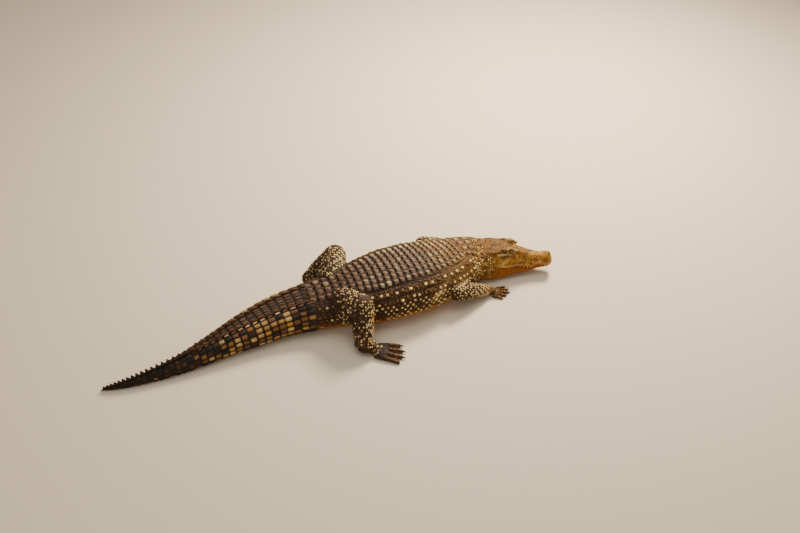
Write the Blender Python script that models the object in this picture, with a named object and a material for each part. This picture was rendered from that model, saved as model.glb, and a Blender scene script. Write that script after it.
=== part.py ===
"""Crocodile lying at rest, as one still, life-size model in solid parts.

Frame: metres, +X towards the head along the trunk, +Y to the animal's left, +Z up.  The origin is
on the floor under the middle of the belly.  Distances "s" run along the spine from the snout tip
(s = 0) to the tail tip (s = LENGTH); distances "u" run along the straight axis of the head.

The trunk, neck and tail are lofts of closed sections set square to the curved spine.  The legs are
bent tubes, trimmed against the trunk.  The feet are a palm joined to its toes.  The head and the
lower jaw are lofts that meet along the wavy line of the mouth, and carry the teeth that show.
"""
from math import ceil, cos, pi, radians, sin

import bmesh
import bpy
from mathutils import Matrix, Vector

# ---------------------------------------------------------------- main sizes
LENGTH = 2.50          # snout tip to tail tip, along the spine
MID = 0.88             # s of the trunk section that stands over the origin
GAP = 0.0004           # clearance between neighbouring parts
TRIM = 0.0005          # clearance between a leg and the trunk it is trimmed against
WELD = 0.00002         # points closer than this are joined after a Boolean
SPINE_STEP = 0.002     # spacing of the points that the spine is found from
BELLY_SINK = 0.007     # depth by which the round underside is flattened on the floor

# heading of the spine, degrees to the left of +X, at distance s from the snout tip
HEADING = (
    (0.00, -22.5), (0.375, -22.5), (0.415, -14.0), (0.465, 1.0), (0.52, 9.5), (0.60, 9.5),
    (0.70, 6.5), (0.80, 4.0), (0.90, 1.0), (1.00, -1.0), (1.10, -2.5), (1.25, -4.5),
    (1.36, -5.0), (1.48, 0.5), (1.60, 8.5), (1.75, 12.0), (1.92, 13.0), (2.08, 8.5),
    (2.22, 3.0), (2.33, -1.0), (2.42, -8.0), (2.50, -14.0),
)

# full width and height of the body, without the tail crests, at distance s
WIDTH = (
    (0.375, 0.244), (0.44, 0.282), (0.50, 0.318), (0.57, 0.352), (0.70, 0.424), (0.82, 0.456),
    (0.92, 0.460), (1.02, 0.440), (1.10, 0.408), (1.18, 0.368), (1.25, 0.334), (1.42, 0.284),
    (1.66, 0.232), (1.90, 0.150), (2.11, 0.092), (2.32, 0.046), (2.46, 0.020), (2.50, 0.010),
)
HEIGHT = (
    (0.375, 0.168), (0.44, 0.182), (0.50, 0.196), (0.57, 0.210), (0.70, 0.230), (0.82, 0.243),
    (0.92, 0.245), (1.02, 0.236), (1.10, 0.225), (1.18, 0.213), (1.25, 0.200), (1.42, 0.172),
    (1.66, 0.146), (1.90, 0.116), (2.11, 0.078), (2.32, 0.048), (2.46, 0.024), (2.50, 0.012),
)
WIDEST = 0.42          # level of the widest point, as a share of the height
TOP_POWER = 2.35       # squareness of the back
LOW_POWER = 2.60       # squareness of the belly

# the trunk is cut into named parts at these distances
NECK_START = 0.375
THORAX_START = 0.47
BELLY_START = 0.80
PELVIS_START = 1.08
TAIL_START = 1.37

# tail whorls: each is one ring of plates, with a crest flap that rises towards the tail tip
WHORL_FIRST = 0.0470   # length of the first whorl
WHORL_LAST = 0.0175    # length of the last whorl
WHORLS = 35
BASE_WHORLS = 8        # whorls in the base of the tail
DOUBLE_WHORLS = 16     # whorls with two crest rows; the rest have one
FLAP_LOW = 0.22        # height of a flap's front edge, as a share of the flap
FLAP_FRONT = 0.14      # where a flap starts and peaks, as shares of the whorl
FLAP_PEAK = 0.93
CREST = ((1.37, 0.008), (1.55, 0.013), (1.80, 0.018), (1.98, 0.024), (2.10, 0.031),
         (2.25, 0.028), (2.40, 0.019), (2.50, 0.008))
CREST_SIDE = ((1.37, 0.40), (1.60, 0.36), (1.80, 0.28), (1.95, 0.17), (2.00, 0.14))
FLAP_HALF = 0.0042     # half thickness of a flap at its foot

# ---------------------------------------------------------------- head, along its own axis u
HALF_HEAD = (
    (0.000, 0.016), (0.006, 0.027), (0.016, 0.035), (0.032, 0.0405), (0.050, 0.0395),
    (0.066, 0.0345), (0.084, 0.041), (0.115, 0.051), (0.140, 0.0540), (0.165, 0.0555),
    (0.195, 0.062), (0.230, 0.073), (0.265, 0.085), (0.300, 0.096), (0.330, 0.105),
    (0.355, 0.111), (0.375, 0.114),
)
HEAD_TOP = (
    (0.000, 0.085), (0.010, 0.1010), (0.028, 0.1090), (0.048, 0.1070), (0.066, 0.1045),
    (0.100, 0.1095), (0.130, 0.1170), (0.165, 0.1300), (0.200, 0.1490), (0.225, 0.1630),
    (0.250, 0.1720), (0.290, 0.1770), (0.335, 0.1770), (0.360, 0.1730), (0.375, 0.1680),
)
TABLE_HALF = (
    (0.000, 0.008), (0.016, 0.019), (0.032, 0.023), (0.066, 0.019), (0.115, 0.026),
    (0.165, 0.031), (0.200, 0.036), (0.225, 0.040), (0.260, 0.050), (0.300, 0.060),
    (0.345, 0.064), (0.375, 0.064),
)
MOUTH = (
    (0.000, 0.0655), (0.016, 0.0635), (0.034, 0.0625), (0.054, 0.0660), (0.066, 0.0710),
    (0.080, 0.0685), (0.105, 0.0610), (0.130, 0.0590), (0.155, 0.0650), (0.180, 0.0705),
    (0.210, 0.0705), (0.240, 0.0710), (0.270, 0.0780), (0.300, 0.0890), (0.324, 0.0990),
    (0.345, 0.1050), (0.375, 0.1080),
)
HALF_JAW = (
    (0.000, 0.011), (0.006, 0.020), (0.016, 0.028), (0.032, 0.033), (0.050, 0.0325),
    (0.066, 0.0325), (0.084, 0.0355), (0.115, 0.0440), (0.140, 0.0480), (0.165, 0.0505),
    (0.195, 0.058), (0.230, 0.070), (0.265, 0.083), (0.300, 0.095), (0.330, 0.105),
    (0.355, 0.112), (0.375, 0.115),
)
JAW_BULGE = (
    (0.000, 0.012), (0.006, 0.021), (0.032, 0.035), (0.066, 0.0385), (0.115, 0.0525),
    (0.140, 0.0590), (0.195, 0.072), (0.230, 0.084), (0.265, 0.097), (0.300, 0.109),
    (0.330, 0.118), (0.355, 0.122), (0.375, 0.122),
)
JAW_LOW = (
    (0.000, 0.0520), (0.010, 0.0460), (0.030, 0.0420), (0.070, 0.0355), (0.120, 0.0275),
    (0.180, 0.0185), (0.240, 0.0115), (0.300, 0.0065), (0.375, 0.0050),
)
HEAD_STATIONS = (
    0.0, 0.006, 0.016, 0.030, 0.048, 0.066, 0.084, 0.106, 0.130, 0.155, 0.180, 0.205, 0.230,
    0.255, 0.280, 0.303, 0.324, 0.345, 0.362, 0.375,
)
EYE_U = 0.229          # eye centre along the head
EYE_SIDE = 0.0455      # eye centre from the middle line
EYE_Z = 0.1620
EYE_R = 0.0125
BROW_SIZE = (0.030, 0.0165, 0.0225)      # half sizes of the mound that carries an eye
NOSE_U = 0.026
NOSE_SIZE = (0.021, 0.019, 0.0165)       # half sizes of the mound that carries the nostrils
TOOTH_R = 0.0026
TOOTH_LONG = 0.0088
TEETH_U = (0.012, 0.026, 0.041, 0.054, 0.083, 0.099, 0.116, 0.134, 0.154, 0.176, 0.199)
BIG_TEETH_U = (0.041, 0.116, 0.134)
FOURTH_U = 0.0665      # the large lower tooth that stands in the notch behind the nose

# ---------------------------------------------------------------- legs: joints and radii
# each leg: side (+1 left, -1 right), joint centres, and half sizes (in the bend, across the bend)
HIND_ROOT_S = 1.235
HIND_ROOT_SIDE = 0.075
HIND_ROOT_Z = 0.118
HIND_KNEE = {1: (-0.278, 0.236, 0.180), -1: (-0.290, -0.192, 0.182)}
HIND_ANKLE = {1: (-0.405, 0.275, 0.050), -1: (-0.330, -0.314, 0.050)}
HIND_HEADING = {1: 8.0, -1: -33.0}       # direction of the foot, degrees left of +X
THIGH = ((0.00, 0.085, 0.075), (0.45, 0.078, 0.068), (0.74, 0.066, 0.058))
KNEE = (0.058, 0.050)
SHANK = ((0.28, 0.055, 0.045), (0.55, 0.053, 0.041), (0.80, 0.048, 0.034))
ANKLE = (0.049, 0.031)

FORE_ROOT_S = 0.560
FORE_ROOT_SIDE = 0.085
FORE_ROOT_Z = 0.118
FORE_ELBOW = {1: (0.250, 0.245, 0.094), -1: (0.250, -0.186, 0.094)}
FORE_WRIST = {1: (0.430, 0.235, 0.030), -1: (0.436, -0.170, 0.030)}
FORE_HEADING = {1: 16.0, -1: -17.0}
UPPER_ARM = ((0.00, 0.058, 0.050), (0.40, 0.052, 0.046), (0.70, 0.044, 0.040))
ELBOW = (0.047, 0.036)
FOREARM = ((0.26, 0.042, 0.037), (0.55, 0.036, 0.032), (0.82, 0.028, 0.025))
WRIST = (0.0265, 0.021)

# feet: half width and half height of the palm at distances ahead of the ankle, then the toes
# toe: (heading away from the foot's own, outward positive; length; root radius; tip radius; claw)
HIND_PALM = ((0.060, 0.036, 0.023), (0.088, 0.044, 0.018), (0.116, 0.049, 0.014))
HIND_TOES = (
    (-20.0, 0.172, 0.0120, 0.0078, True), (-6.5, 0.188, 0.0125, 0.0080, True),
    (6.0, 0.194, 0.0125, 0.0078, True), (18.5, 0.190, 0.0105, 0.0066, False),
)
HIND_SPREAD = 0.018    # toe roots stand this far apart
HIND_WEB = 0.156       # reach of the web ahead of the ankle
WEB_BACK = 0.050
WEB_LOW = -0.002       # levels of the web's two faces, before the sole is cut flat
WEB_TOP = 0.005
FORE_PALM = ((0.038, 0.028, 0.017), (0.052, 0.032, 0.015), (0.066, 0.034, 0.012))
FORE_TOES = (
    (-26.0, 0.092, 0.0082, 0.0058, True), (-11.0, 0.104, 0.0086, 0.0060, True),
    (3.0, 0.106, 0.0086, 0.0060, True), (20.0, 0.094, 0.0074, 0.0050, False),
    (41.0, 0.078, 0.0070, 0.0048, False),
)
FORE_SPREAD = 0.0095
TOE_ROOT = 0.38        # share of the toe's length at which it leaves the palm
CLAW_LONG = {"hind": 0.026, "fore": 0.017}
SOLE_SINK = 0.0040     # depth by which the soles are flattened on the floor

SHARP = 42.0           # edges sharper than this many degrees are shaded sharp
TRUNK_SIDES = 22
LIMB_SIDES = 10
TOE_SIDES = 6

# name, colour, roughness, metallic
MATERIALS = {
    "hide": ((0.150, 0.098, 0.045, 1.0), 0.55, 0.0),
    "jaw_hide": ((0.420, 0.240, 0.090, 1.0), 0.50, 0.0),
    "tail_hide": ((0.110, 0.075, 0.040, 1.0), 0.50, 0.0),
    "leg_hide": ((0.170, 0.115, 0.060, 1.0), 0.55, 0.0),
    "eye": ((0.120, 0.085, 0.020, 1.0), 0.12, 0.0),
    "claw": ((0.050, 0.036, 0.024, 1.0), 0.35, 0.0),
}


# ---------------------------------------------------------------- numbers
def smooth(table, t):
    """Value at t of a smooth curve through the (t, value) pairs, without overshoot."""
    last = len(table) - 1
    if t <= table[0][0]:
        return table[0][1]
    if t >= table[last][0]:
        return table[last][1]
    i = 0
    while table[i + 1][0] < t:
        i += 1

    def slope(k):
        if k == 0 or k == last:
            return 0.0
        before = (table[k][1] - table[k - 1][1]) / (table[k][0] - table[k - 1][0])
        after = (table[k + 1][1] - table[k][1]) / (table[k + 1][0] - table[k][0])
        if before * after <= 0.0:
            return 0.0
        return 2.0 * before * after / (before + after)

    h = table[i + 1][0] - table[i][0]
    v = (t - table[i][0]) / h
    out = (1 + 2 * v) * (1 - v) ** 2 * table[i][1]
    out += v * (1 - v) ** 2 * h * slope(i)
    out += v * v * (3 - 2 * v) * table[i + 1][1]
    out += v * v * (v - 1) * h * slope(i + 1)
    return out


def spine_points():
    """Spine positions every SPINE_STEP, found by following the heading from the origin."""
    count = int(round(LENGTH / SPINE_STEP)) + 1
    x = [0.0] * count
    y = [0.0] * count
    mid = int(round(MID / SPINE_STEP))
    for step, order in ((1, range(mid + 1, count)), (-1, range(mid - 1, -1, -1))):
        for k in order:
            a = radians(smooth(HEADING, (k - 0.5 * step) * SPINE_STEP))
            x[k] = x[k - step] - step * SPINE_STEP * cos(a)
            y[k] = y[k - step] - step * SPINE_STEP * sin(a)
    return x, y


SPINE_X, SPINE_Y = spine_points()


def spine(s):
    """Point of the spine on the floor, the forward direction and the left direction at s."""
    f = min(max(s / SPINE_STEP, 0.0), len(SPINE_X) - 1.001)
    k = int(f)
    f -= k
    a = radians(smooth(HEADING, s))
    point = Vector((SPINE_X[k] * (1 - f) + SPINE_X[k + 1] * f,
                    SPINE_Y[k] * (1 - f) + SPINE_Y[k + 1] * f, 0.0))
    return point, Vector((cos(a), sin(a), 0.0)), Vector((-sin(a), cos(a), 0.0))


# ---------------------------------------------------------------- meshes
def from_bmesh(name, bm, material, collection):
    """A mesh object from a closed bmesh, with its faces turned outwards."""
    bmesh.ops.recalc_face_normals(bm, faces=bm.faces)
    if bm.calc_volume(signed=True) < 0.0:
        bmesh.ops.reverse_faces(bm, faces=bm.faces)
    mesh = bpy.data.meshes.new(name)
    bm.to_mesh(mesh)
    bm.free()
    obj = bpy.data.objects.new(name, mesh)
    if material:
        mesh.materials.append(bpy.data.materials[material])
    collection.objects.link(obj)
    return obj


def loft(name, rings, material, collection):
    """A closed body through rings of equal length, with a flat cap on each end."""
    count = len(rings[0])
    bm = bmesh.new()
    verts = [bm.verts.new(v) for ring in rings for v in ring]
    for r in range(len(rings) - 1):
        a = r * count
        b = a + count
        for k in range(count):
            n = (k + 1) % count
            if k < count // 2:
                bm.faces.new((verts[a + k], verts[a + n], verts[b + n]))
                bm.faces.new((verts[a + k], verts[b + n], verts[b + k]))
            else:
                bm.faces.new((verts[a + k], verts[a + n], verts[b + k]))
                bm.faces.new((verts[a + n], verts[b + n], verts[b + k]))
    bm.faces.new(verts[:count])
    bm.faces.new(verts[-count:])
    return from_bmesh(name, bm, material, collection)


def ellipsoid(name, centre, size, turn, collection, rows=8, columns=14, material=None):
    """A closed ellipsoid of half sizes (forward, side, up), turned about Z by an angle."""
    bm = bmesh.new()
    bmesh.ops.create_uvsphere(bm, u_segments=columns, v_segments=rows, radius=1.0)
    place = Matrix.Translation(centre) @ Matrix.Rotation(turn, 4, "Z")
    bmesh.ops.transform(bm, matrix=place @ Matrix.Diagonal((*size, 1.0)), verts=bm.verts)
    return from_bmesh(name, bm, material, collection)


def boolean(obj, other, operation):
    """Apply one exact Boolean of obj with other, and keep other as it is."""
    mod = obj.modifiers.new("join", "BOOLEAN")
    mod.operation = operation
    mod.solver = "EXACT"
    mod.object = other
    bpy.context.view_layer.update()
    graph = bpy.context.evaluated_depsgraph_get()
    mesh = bpy.data.meshes.new_from_object(obj.evaluated_get(graph))
    obj.modifiers.clear()
    bm = bmesh.new()
    bm.from_mesh(mesh)
    bmesh.ops.remove_doubles(bm, verts=bm.verts, dist=WELD)
    bmesh.ops.triangulate(bm, faces=bm.faces)
    bm.to_mesh(mesh)
    bm.free()
    old = obj.data
    obj.data = mesh
    mesh.name = obj.name
    bpy.data.meshes.remove(old)


def drop(obj):
    """Remove a helper object that has done its work."""
    mesh = obj.data
    bpy.data.objects.remove(obj)
    bpy.data.meshes.remove(mesh)


def box(name, low, high, collection):
    """An axis-aligned block between two corners."""
    low = Vector(low)
    high = Vector(high)
    bm = bmesh.new()
    bmesh.ops.create_cube(bm, size=1.0)
    place = Matrix.Translation((low + high) * 0.5) @ Matrix.Diagonal((*(high - low), 1.0))
    bmesh.ops.transform(bm, matrix=place, verts=bm.verts)
    return from_bmesh(name, bm, None, collection)


# ---------------------------------------------------------------- trunk and tail
def body_height(x, half, height, upper):
    """Level of the body's surface at distance x from the middle, on its upper or lower side."""
    level = WIDEST * height
    r = min(abs(x) / half, 1.0)
    if upper:
        return level + (height - level) * (1 - r ** TOP_POWER) ** (1 / TOP_POWER)
    z = level - (level + BELLY_SINK) * (1 - r ** LOW_POWER) ** (1 / LOW_POWER)
    return max(z, 0.0)


def mirrored(half_points):
    """A closed outline from its left half, listed from the top middle to the bottom middle."""
    right = [(-x, z) for x, z in half_points[1:-1]]
    return half_points + right[::-1]


def placed(outline, s, shift):
    """The outline set square to the spine at s, moved along it by shift."""
    point, ahead, left = spine(s)
    point = point + ahead * shift
    return [point + left * x + Vector((0.0, 0.0, z)) for x, z in outline]


def trunk_outline(s, grow=0.0):
    """Smooth section of the trunk, grown outwards by a small distance if asked."""
    half = 0.5 * smooth(WIDTH, s)
    height = smooth(HEIGHT, s)
    pts = []
    count = TRUNK_SIDES // 2
    for k in range(count + 1):
        a = pi * k / count
        if a <= pi / 2:
            x = half * sin(a) ** (2 / TOP_POWER)
            z = body_height(x, half, height, True)
        else:
            x = half * max(sin(a), 0.0) ** (2 / LOW_POWER)
            z = body_height(x, half, height, False)
        if k in (0, count):
            x = 0.0
        pts.append((x, z))
    if grow:
        level = WIDEST * height
        grown = []
        for x, z in pts:
            n = Vector((x / (half * half), (z - level) / (level * level)))
            n.normalize()
            grown.append((x + n.x * grow * 1.15, z + n.y * grow * 1.15))
        pts = grown
    return mirrored(pts)


def steps(start, end, most):
    """Evenly spaced distances from start to end, no further apart than most."""
    count = max(1, ceil((end - start) / most - 1e-9))
    return [start + (end - start) * k / count for k in range(count + 1)]


def trunk_part(name, start, end, most, material, collection):
    """One named length of the trunk, pulled in by half a gap at each end."""
    rings = []
    stations = steps(start, end, most)
    for s in stations:
        shift = 0.0
        if s == stations[0]:
            shift = -0.5 * GAP
        if s == stations[-1]:
            shift = 0.5 * GAP
        rings.append(placed(trunk_outline(s), s, shift))
    return loft(name, rings, material, collection)


def trunk_cutter(collection):
    """The whole trunk, a little larger, for trimming the legs."""
    rings = []
    for a, b, most in TRUNK_SPANS:
        stations = steps(a, b, most)
        if rings:
            stations = stations[1:]
        rings += [placed(trunk_outline(s, TRIM), s, 0.0) for s in stations]
    return loft("trunk_cutter", rings, None, collection)


TRUNK_SPANS = (
    (NECK_START, THORAX_START, 0.048), (THORAX_START, BELLY_START, 0.055),
    (BELLY_START, PELVIS_START, 0.070), (PELVIS_START, TAIL_START, 0.058),
)


def whorl_starts():
    """Distances at which the tail whorls begin, and the end of the last one."""
    raw = [WHORL_FIRST + (WHORL_LAST - WHORL_FIRST) * k / (WHORLS - 1) for k in range(WHORLS)]
    scale = (LENGTH - 0.012 - TAIL_START) / sum(raw)
    starts = [TAIL_START]
    for pitch in raw:
        starts.append(starts[-1] + pitch * scale)
    return starts


def tail_outline(s, rise, double):
    """Section of the tail with one or two crest rows; rise is the flap's share at this ring."""
    half = 0.5 * smooth(WIDTH, s)
    height = smooth(HEIGHT, s)
    flap = smooth(CREST, s) * rise
    foot = min(FLAP_HALF, 0.3 * half)

    def up(x):
        return (x, body_height(x, half, height, True))

    def low(share):
        return (share * half, body_height(share * half, half, height, False))

    if double:
        c = max(half * smooth(CREST_SIDE, s), foot + 0.0008)
        tip = (c + 0.15 * flap, body_height(c, half, height, True) + flap)
        pts = [up(0.0), up(c - foot), tip, up(c + foot)]
        pts += [up(max(0.85 * half, c + 1.6 * foot)), (half, WIDEST * height)]
        pts += [low(0.90), low(0.42), (0.0, 0.0)]
    else:
        pts = [(0.0, height + flap), up(foot), up(0.78 * half), (half, WIDEST * height)]
        pts += [low(0.84), low(0.42), (0.0, 0.0)]
    return mirrored(pts)


def tail_part(name, first, last, double, material, collection):
    """The whorls from first up to last as one named part."""
    starts = whorl_starts()
    rings = [placed(tail_outline(starts[first], FLAP_LOW, double), starts[first], -0.5 * GAP)]
    for k in range(first, last):
        pitch = starts[k + 1] - starts[k]
        for share, rise in ((FLAP_FRONT, FLAP_LOW), (FLAP_PEAK, 1.0)):
            s = starts[k] + share * pitch
            rings.append(placed(tail_outline(s, rise, double), s, 0.0))
    end = starts[last]
    shift = 0.5 * GAP if last < WHORLS else 0.0
    rings.append(placed(tail_outline(end, FLAP_LOW, double), end, shift))
    if last == WHORLS:
        rings.append(placed(tail_outline(LENGTH, 0.1, double), LENGTH, 0.0))
    return loft(name, rings, material, collection)


# ---------------------------------------------------------------- head
def head_point(u, side, z):
    """World position of a point given along the head's axis, to its left, and up."""
    point, ahead, left = spine(0.0)
    return point - ahead * u + left * side + Vector((0.0, 0.0, z))


def skull_outline(u):
    """Section of the upper head: flat table on top, sloping cheek, flat palate."""
    w = smooth(HALF_HEAD, u)
    top = smooth(HEAD_TOP, u)
    t = smooth(TABLE_HALF, u)
    m = smooth(MOUTH, u) + 0.5 * GAP
    h = top - m
    return [
        (0.0, top), (0.62 * t, top - 0.02 * h), (t, top - 0.10 * h),
        (t + 0.46 * (w - t), top - 0.34 * h), (t + 0.84 * (w - t), top - 0.64 * h),
        (w, m + 0.14 * h), (w - 0.0012, m), (0.5 * w, m), (0.0, m),
    ]


def jaw_outline(u):
    """Section of the lower jaw: flat top under the palate, full side, flat throat."""
    w = smooth(HALF_JAW, u)
    b = smooth(JAW_BULGE, u)
    m = smooth(MOUTH, u) - 0.5 * GAP
    low = smooth(JAW_LOW, u)
    h = m - low
    return [
        (0.0, m), (0.5 * w, m), (w, m), (w, m - 0.26 * h),
        (b, m - 0.56 * h), (0.93 * b, low + 0.16 * h), (0.74 * b, low), (0.0, low),
    ]


def head_loft(name, outline, material, collection):
    """A loft along the head's axis, from the snout tip to the neck."""
    rings = []
    for u in HEAD_STATIONS:
        at = u - 0.5 * GAP if u == HEAD_STATIONS[-1] else u
        rings.append([head_point(at, x, z) for x, z in mirrored(outline(u))])
    return loft(name, rings, material, collection)


def tooth(root, tip, radius, collection):
    """A five-sided cone from root to tip."""
    axis = tip - root
    bm = bmesh.new()
    bmesh.ops.create_cone(bm, cap_ends=True, segments=5, radius1=radius, radius2=0.0,
                          depth=axis.length)
    bmesh.ops.remove_doubles(bm, verts=bm.verts, dist=WELD)
    turn = axis.to_track_quat("Z", "Y").to_matrix().to_4x4()
    place = Matrix.Translation((root + tip) * 0.5) @ turn
    bmesh.ops.transform(bm, matrix=place, verts=bm.verts)
    return from_bmesh("tooth", bm, None, collection)


def add_teeth(head, jaw, cutters):
    """Upper teeth that hang outside the lower jaw, and the large fourth lower tooth."""
    for side in (1, -1):
        for u in TEETH_U:
            m = smooth(MOUTH, u)
            big = 1.2 if u in BIG_TEETH_U else 1.0
            clear = smooth(HALF_JAW, u) + TOOTH_R * big + 0.0008
            w = max(smooth(HALF_HEAD, u) - 0.0030, clear)
            root = head_point(u, side * w, m + 0.0045)
            tip = head_point(u + 0.001, side * (w + 0.0012), m - TOOTH_LONG * big)
            cone = tooth(root, tip, TOOTH_R * big, cutters)
            boolean(head, cone, "UNION")
            drop(cone)
        m = smooth(MOUTH, FOURTH_U)
        w = smooth(HALF_HEAD, FOURTH_U)
        root = head_point(FOURTH_U, side * (w + 0.0002), m - 0.0170)
        tip = head_point(FOURTH_U - 0.001, side * (w + 0.0056), m + 0.0090)
        cone = tooth(root, tip, 0.0034, cutters)
        boolean(jaw, cone, "UNION")
        drop(cone)


def build_head(parts, cutters):
    """Head with brow and nose mounds, eyes in their sockets, and the lower jaw."""
    head = head_loft("head", skull_outline, "hide", parts)
    jaw = head_loft("lower_jaw", jaw_outline, "jaw_hide", parts)
    turn = radians(smooth(HEADING, 0.0))
    nose_z = smooth(HEAD_TOP, NOSE_U) - 0.60 * NOSE_SIZE[2]
    mound = ellipsoid("nose", head_point(NOSE_U, 0.0, nose_z), NOSE_SIZE, turn, cutters, 6, 10)
    boolean(head, mound, "UNION")
    drop(mound)
    for side, label in ((1, "left"), (-1, "right")):
        brow_z = EYE_Z - 0.0015
        lean = turn + side * radians(8.0)
        where = head_point(EYE_U + 0.003, side * (EYE_SIDE - 0.0065), brow_z)
        mound = ellipsoid("brow", where, BROW_SIZE, lean, cutters, 8, 12)
        boolean(head, mound, "UNION")
        drop(mound)
        eye_at = head_point(EYE_U, side * EYE_SIDE, EYE_Z)
        socket = ellipsoid("socket", eye_at, [EYE_R + 0.0005] * 3, turn, cutters, 6, 10)
        boolean(head, socket, "DIFFERENCE")
        drop(socket)
        ellipsoid("eye_" + label, eye_at, [EYE_R] * 3, turn, parts, 6, 10, "eye")
    add_teeth(head, jaw, cutters)
    return head, jaw


# ---------------------------------------------------------------- legs
def oval(centre, along, across, half_in, half_across, sides=LIMB_SIDES):
    """An oval ring square to "along", half_across wide in the direction nearest "across"."""
    along = along.normalized()
    inward = across.cross(along).normalized()
    over = along.cross(inward)
    ring = []
    for k in range(sides):
        a = 2.0 * pi * k / sides
        ring.append(centre + inward * (half_in * cos(a)) + over * (half_across * sin(a)))
    return ring


def dome(centre, outward, across, along, size, reach):
    """Rings that round off a tube beyond centre, listed from the tube outwards."""
    rings = []
    for a in (32.0, 64.0):
        at = centre + outward * (reach * sin(radians(a)))
        c = cos(radians(a))
        rings.append(oval(at, along, across, size[0] * c, size[1] * c))
    return rings


def bone(name, start, end, stations, normal, collection):
    """A tube from start to end with both ends rounded; stations are (share, in bend, across)."""
    along = (end - start).normalized()
    rings = []
    first = stations[0]
    last = stations[-1]
    rings += dome(start, -along, normal, along, first[1:], first[1])[::-1]
    for share, a, b in stations:
        rings.append(oval(start.lerp(end, share), along, normal, a, b))
    rings += dome(end, along, normal, along, last[1:], last[1])
    return loft(name, rings, "leg_hide", collection)


def keep_side(obj, point, normal, shift):
    """Cut the body by a plane and keep what lies behind it, short of it by shift."""
    bm = bmesh.new()
    bm.from_mesh(obj.data)
    everything = list(bm.verts) + list(bm.edges) + list(bm.faces)
    bmesh.ops.bisect_plane(bm, geom=everything, dist=1e-6, plane_co=point - normal * shift,
                           plane_no=normal, clear_outer=True)
    rim = [e for e in bm.edges if len(e.link_faces) == 1]
    bmesh.ops.edgenet_fill(bm, edges=rim)
    bmesh.ops.recalc_face_normals(bm, faces=bm.faces)
    bmesh.ops.triangulate(bm, faces=bm.faces)
    bm.to_mesh(obj.data)
    bm.free()


def leg_tubes(prefix, names, joints, upper, joint, lower, end, foot_dir, collection):
    """Upper and lower leg, parted by the plane that halves the bend of the knee or elbow."""
    root, knee, ankle = [Vector(j) for j in joints]
    one = (knee - root).normalized()
    two = (ankle - knee).normalized()
    normal = one.cross(two).normalized()
    halving = (one + two).normalized()
    last = (two + foot_dir).normalized()
    top = bone(prefix + names[0], root, knee, upper + ((1.0,) + joint,), normal, collection)
    keep_side(top, knee, halving, 0.5 * GAP)
    low = bone(prefix + names[1], knee, ankle, ((0.0,) + joint,) + lower + ((1.0,) + end,),
               normal, collection)
    keep_side(low, knee, -halving, 0.5 * GAP)
    keep_side(low, ankle, last, 0.5 * GAP)
    return top, low, last


def toe_path(start, heading, length, root_r):
    """Centre line of a toe: level at its root, then down to rest near the floor."""
    ahead = Vector((cos(heading), sin(heading), 0.0))
    first = start + ahead * (TOE_ROOT * length)
    pts = []
    for share, lift in ((0.0, 0.95), (0.50, 1.05), (1.0, 0.66)):
        at = first + ahead * ((1 - TOE_ROOT) * length * share)
        pts.append(Vector((at.x, at.y, root_r * lift)))
    return pts, ahead


def claw(name, base, ahead, radius, length, collection):
    """A curved, flattened cone that starts square to the toe and bends down."""
    rings = []
    side = Vector((-ahead.y, ahead.x, 0.0))
    for share, r, fall in ((0.0, 1.0, 0.0), (0.45, 0.78, 0.09), (0.92, 0.22, 0.36)):
        centre = base + ahead * (length * share) + Vector((0.0, 0.0, -length * 0.30 * fall))
        ring = []
        for k in range(TOE_SIDES):
            a = 2.0 * pi * k / TOE_SIDES
            z = Vector((0.0, 0.0, radius * r * sin(a)))
            ring.append(centre + side * (0.80 * radius * r * cos(a)) + z)
        rings.append(ring)
    low = min(p.z for ring in rings for p in ring)
    if low < 0.0012:
        for ring in rings[1:]:
            for p in ring:
                p.z = max(p.z, 0.0012)
    return loft(name, rings, "claw", collection)


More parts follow.
